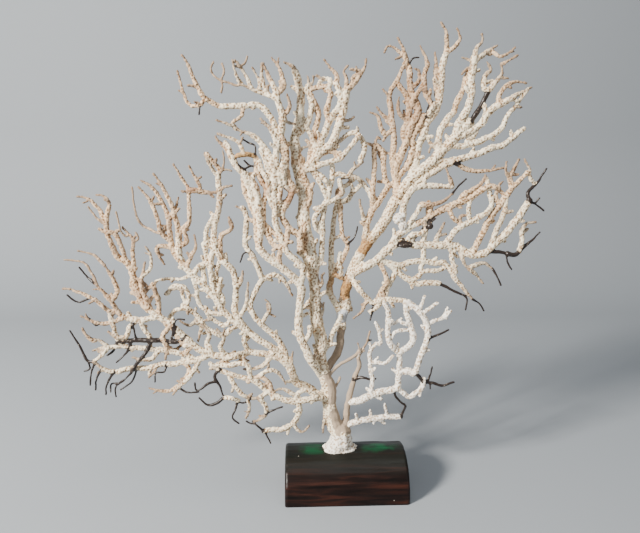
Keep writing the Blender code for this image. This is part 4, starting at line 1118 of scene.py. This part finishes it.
def wood_material(name):
    """Dark stained wood: reddish streaks along X, greyer at the crest, with green stain and pale specks."""
    material, tree, surface = new_material(name)
    place = added(tree, "TexCoord", {})["Object"]
    axes = added(tree, "SeparateXYZ", {"Vector": place})
    stretched = added(tree, "Mapping", {"Vector": place, "Scale": (9.0, 130.0, 130.0)})["Vector"]
    streaks = added(tree, "TexNoise", {"Vector": stretched, "Scale": 1.6, "Detail": 7.0,
                                       "Roughness": 0.62, "Distortion": 0.5})["Fac"]
    wood = ramp(tree, streaks, WOOD_TONES)
    upper = spread(tree, axes["Z"], *GREYER_UP, 0.0, 0.8)
    wood = blend(tree, upper, wood, (0.0075, 0.0085, 0.0065))
    cloud = added(tree, "TexNoise", {"Vector": place, "Scale": 70.0, "Detail": 4.0})["Fac"]
    crest = product(tree, spread(tree, axes["Z"], *GREEN_UP), spread(tree, cloud, 0.42, 0.60))
    along = ramp(tree, spread(tree, axes["X"], -0.05, 0.05), GREEN_ALONG)
    wood = blend(tree, product(tree, crest, along), wood, (0.003, 0.052, 0.019))
    specks = added(tree, "TexVoronoi", {"Vector": place, "Scale": 75.0})["Distance"]
    wood = blend(tree, spread(tree, specks, 0.040, 0.026), wood, (0.42, 0.38, 0.33))
    plug(tree, surface, {
        "Base Color": wood,
        "Roughness": spread(tree, streaks, 0.0, 1.0, 0.24, 0.52),
        "Normal": bump(tree, streaks, 0.5, 0.0006),
        "Specular IOR Level": 0.16,
    })
    return material


def wood_height(x, turn):
    """How far the block's curved back stands out there, from its grain and wear."""
    grain = noise.noise(Vector((x * 0.012, turn * 9.0, 1.7)))
    fine = noise.noise(Vector((x * 0.05, turn * 34.0, 5.1)))
    dents = noise.noise(Vector((x * 0.06, turn * 2.2, 8.3)))
    return 0.35 * grain + 0.14 * fine + 0.5 * dents


def block_ring(work, x, worn, depth, height):
    """One section of the block: its curved back, then its flat underside."""
    ring = []
    for k in range(BLOCK_STEPS + 1):
        turn = pi * k / BLOCK_STEPS
        rise = wood_height(x, turn) * min(1.0, 6.0 * sin(turn)) - worn - BLOCK_INSET
        y = -cos(turn) * (depth / 2.0 + rise)
        z = max(sin(turn), 0.0) ** BLOCK_FULLNESS * (height + rise)
        ring.append(work.verts.new(Vector((x, y, z)) * MM))
    under = []
    for k in range(1, UNDER_STEPS):
        y = mix(ring[-1].co.y, ring[0].co.y, k / UNDER_STEPS)
        under.append(work.verts.new((x * MM, y, 0.0)))
    return ring + under


def wooden_block(name):
    """The half-round block with its rounded arrises, grain and worn ends."""
    low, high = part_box("wooden_block")
    length = (high.x - low.x) * 1000.0
    depth = (high.y - low.y) * 1000.0
    height = (high.z - low.z) * 1000.0
    worn_length = WORN_ENDS[-1][0]
    stations = [(-length / 2 + d, w) for d, w in WORN_ENDS]
    for k in range(1, BLOCK_COLUMNS):
        along = (length - 2.0 * worn_length) * k / BLOCK_COLUMNS
        stations.append((-length / 2 + worn_length + along, 0.0))
    stations += [(length / 2 - d, w) for d, w in reversed(WORN_ENDS)]
    work = bmesh.new()
    close_rings(work, [block_ring(work, x, worn, depth, height) for x, worn in stations])
    bmesh.ops.recalc_face_normals(work, faces=work.faces)
    bmesh.ops.triangulate(work, faces=[f for f in work.faces if len(f.verts) > 4])
    mesh = mesh_of(name, work)
    for polygon in mesh.polygons:
        polygon.use_smooth = len(polygon.vertices) == 4
    return linked(name, mesh)


def finished(piece, node, material):
    piece.data.materials.clear()
    piece.data.materials.append(material)
    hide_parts(node)
    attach(piece, "root")


def bough_skin(order, name, slot, branches):
    """A bough's skin: its tubes, foot and lumps remeshed as one, then dressed."""
    work = bmesh.new()
    samples = []
    for k, (line, widths, surface) in enumerate(branches + budded(branches, BUD_SEED + order)):
        seed = order * 7.3 + k * 1.9
        points = wandering([placed(p) for p in line], seed)
        tube(work, points, widths, seed)
        last = len(points) - 1
        fine = min(max((DARK_BELOW - widths[-1]) / DARK_RANGE, 0.0), 1.0)
        if slot == "white_rind":
            fine = 0.0
        kind = "white" if slot == "white_rind" and surface == "cream" else surface
        for j, point in enumerate(points):
            samples.append((point, kind, max(0.0, 1.0 - (last - j) / DARK_RINGS) * fine))
    if name == "holdfast":
        foot(work)
        samples += foot_samples()
    for owner, kind, centre, size in LUMPS:
        if owner == name:
            samples += lump(work, kind, centre, size)
    piece = remeshed(name + "_skin", work)
    keep_large(piece)
    dress(piece, samples)
    return piece


def stage():
    """A plain grey floor that curves up into a plain backdrop, in metres."""
    bend_start = 0.55
    bend = 0.35
    work = bmesh.new()
    profile = [(-2.5, 0.0), (bend_start, 0.0)]
    for k in range(1, 13):
        turn = pi / 2 * k / 12
        profile.append((bend_start + bend * sin(turn), bend - bend * cos(turn)))
    profile.append((bend_start + bend, 3.0))
    rows = [[work.verts.new((x, y, z)) for x in (-3.0, 3.0)] for y, z in profile]
    for a, b in zip(rows, rows[1:]):
        work.faces.new((a[0], a[1], b[1], b[0]))
    mesh = mesh_of("floor", work)
    for polygon in mesh.polygons:
        polygon.use_smooth = True
    floor = linked("floor", mesh)
    material, tree, surface = new_material("pale_floor")
    plug(tree, surface, {"Base Color": (0.25, 0.272, 0.295, 1.0), "Roughness": 0.8})
    mesh.materials.append(material)


def area_light(name, place, size, power, colour):
    """A square lamp, in metres and watts, that faces the middle of the fan."""
    light = bpy.data.lights.new(name, "AREA")
    light.size = size
    light.energy = power
    light.color = colour
    lamp = linked(name, light)
    lamp.location = place
    lamp.rotation_euler = (Vector(LIT) - Vector(place)).to_track_quat("-Z", "Y").to_euler()


def sky(colour, strength):
    """An even light from all round."""
    world = bpy.context.scene.world or bpy.data.worlds.new("world")
    bpy.context.scene.world = world
    world.use_nodes = True
    background = world.node_tree.nodes["Background"]
    background.inputs["Color"].default_value = (*colour, 1.0)
    background.inputs["Strength"].default_value = strength


def photographer():
    """The camera, where the photograph was taken from."""
    lens = bpy.data.cameras.new("camera")
    lens.lens = LENS
    lens.sensor_width = SENSOR
    lens.clip_start = 0.01
    camera = linked("camera", lens)
    camera.location = EYE * MM
    camera.rotation_euler = (pi / 2 - PITCH, 0.0, -YAW)
    bpy.context.scene.camera = camera


noise.seed_set(NOISE_SEED)
laid = lay_out()
rind = rind_material("rind")
for order, (name, (_, _, slot)) in enumerate(BOUGHS.items()):
    finished(bough_skin(order, name, slot, laid[name]), name, rind)
finished(wooden_block("block_body"), "wooden_block", wood_material("stained_wood"))

stage()
area_light("key", (-1.3, -0.9, 0.95), 0.3, 112.0, (1.0, 0.955, 0.885))
area_light("fill", (1.3, -1.2, 0.7), 1.2, 4.0, (0.94, 0.97, 1.0))
area_light("top", (0.1, -0.2, 1.5), 0.9, 8.0, (1.0, 1.0, 1.0))
sky((0.80, 0.84, 0.90), 0.31)
photographer()
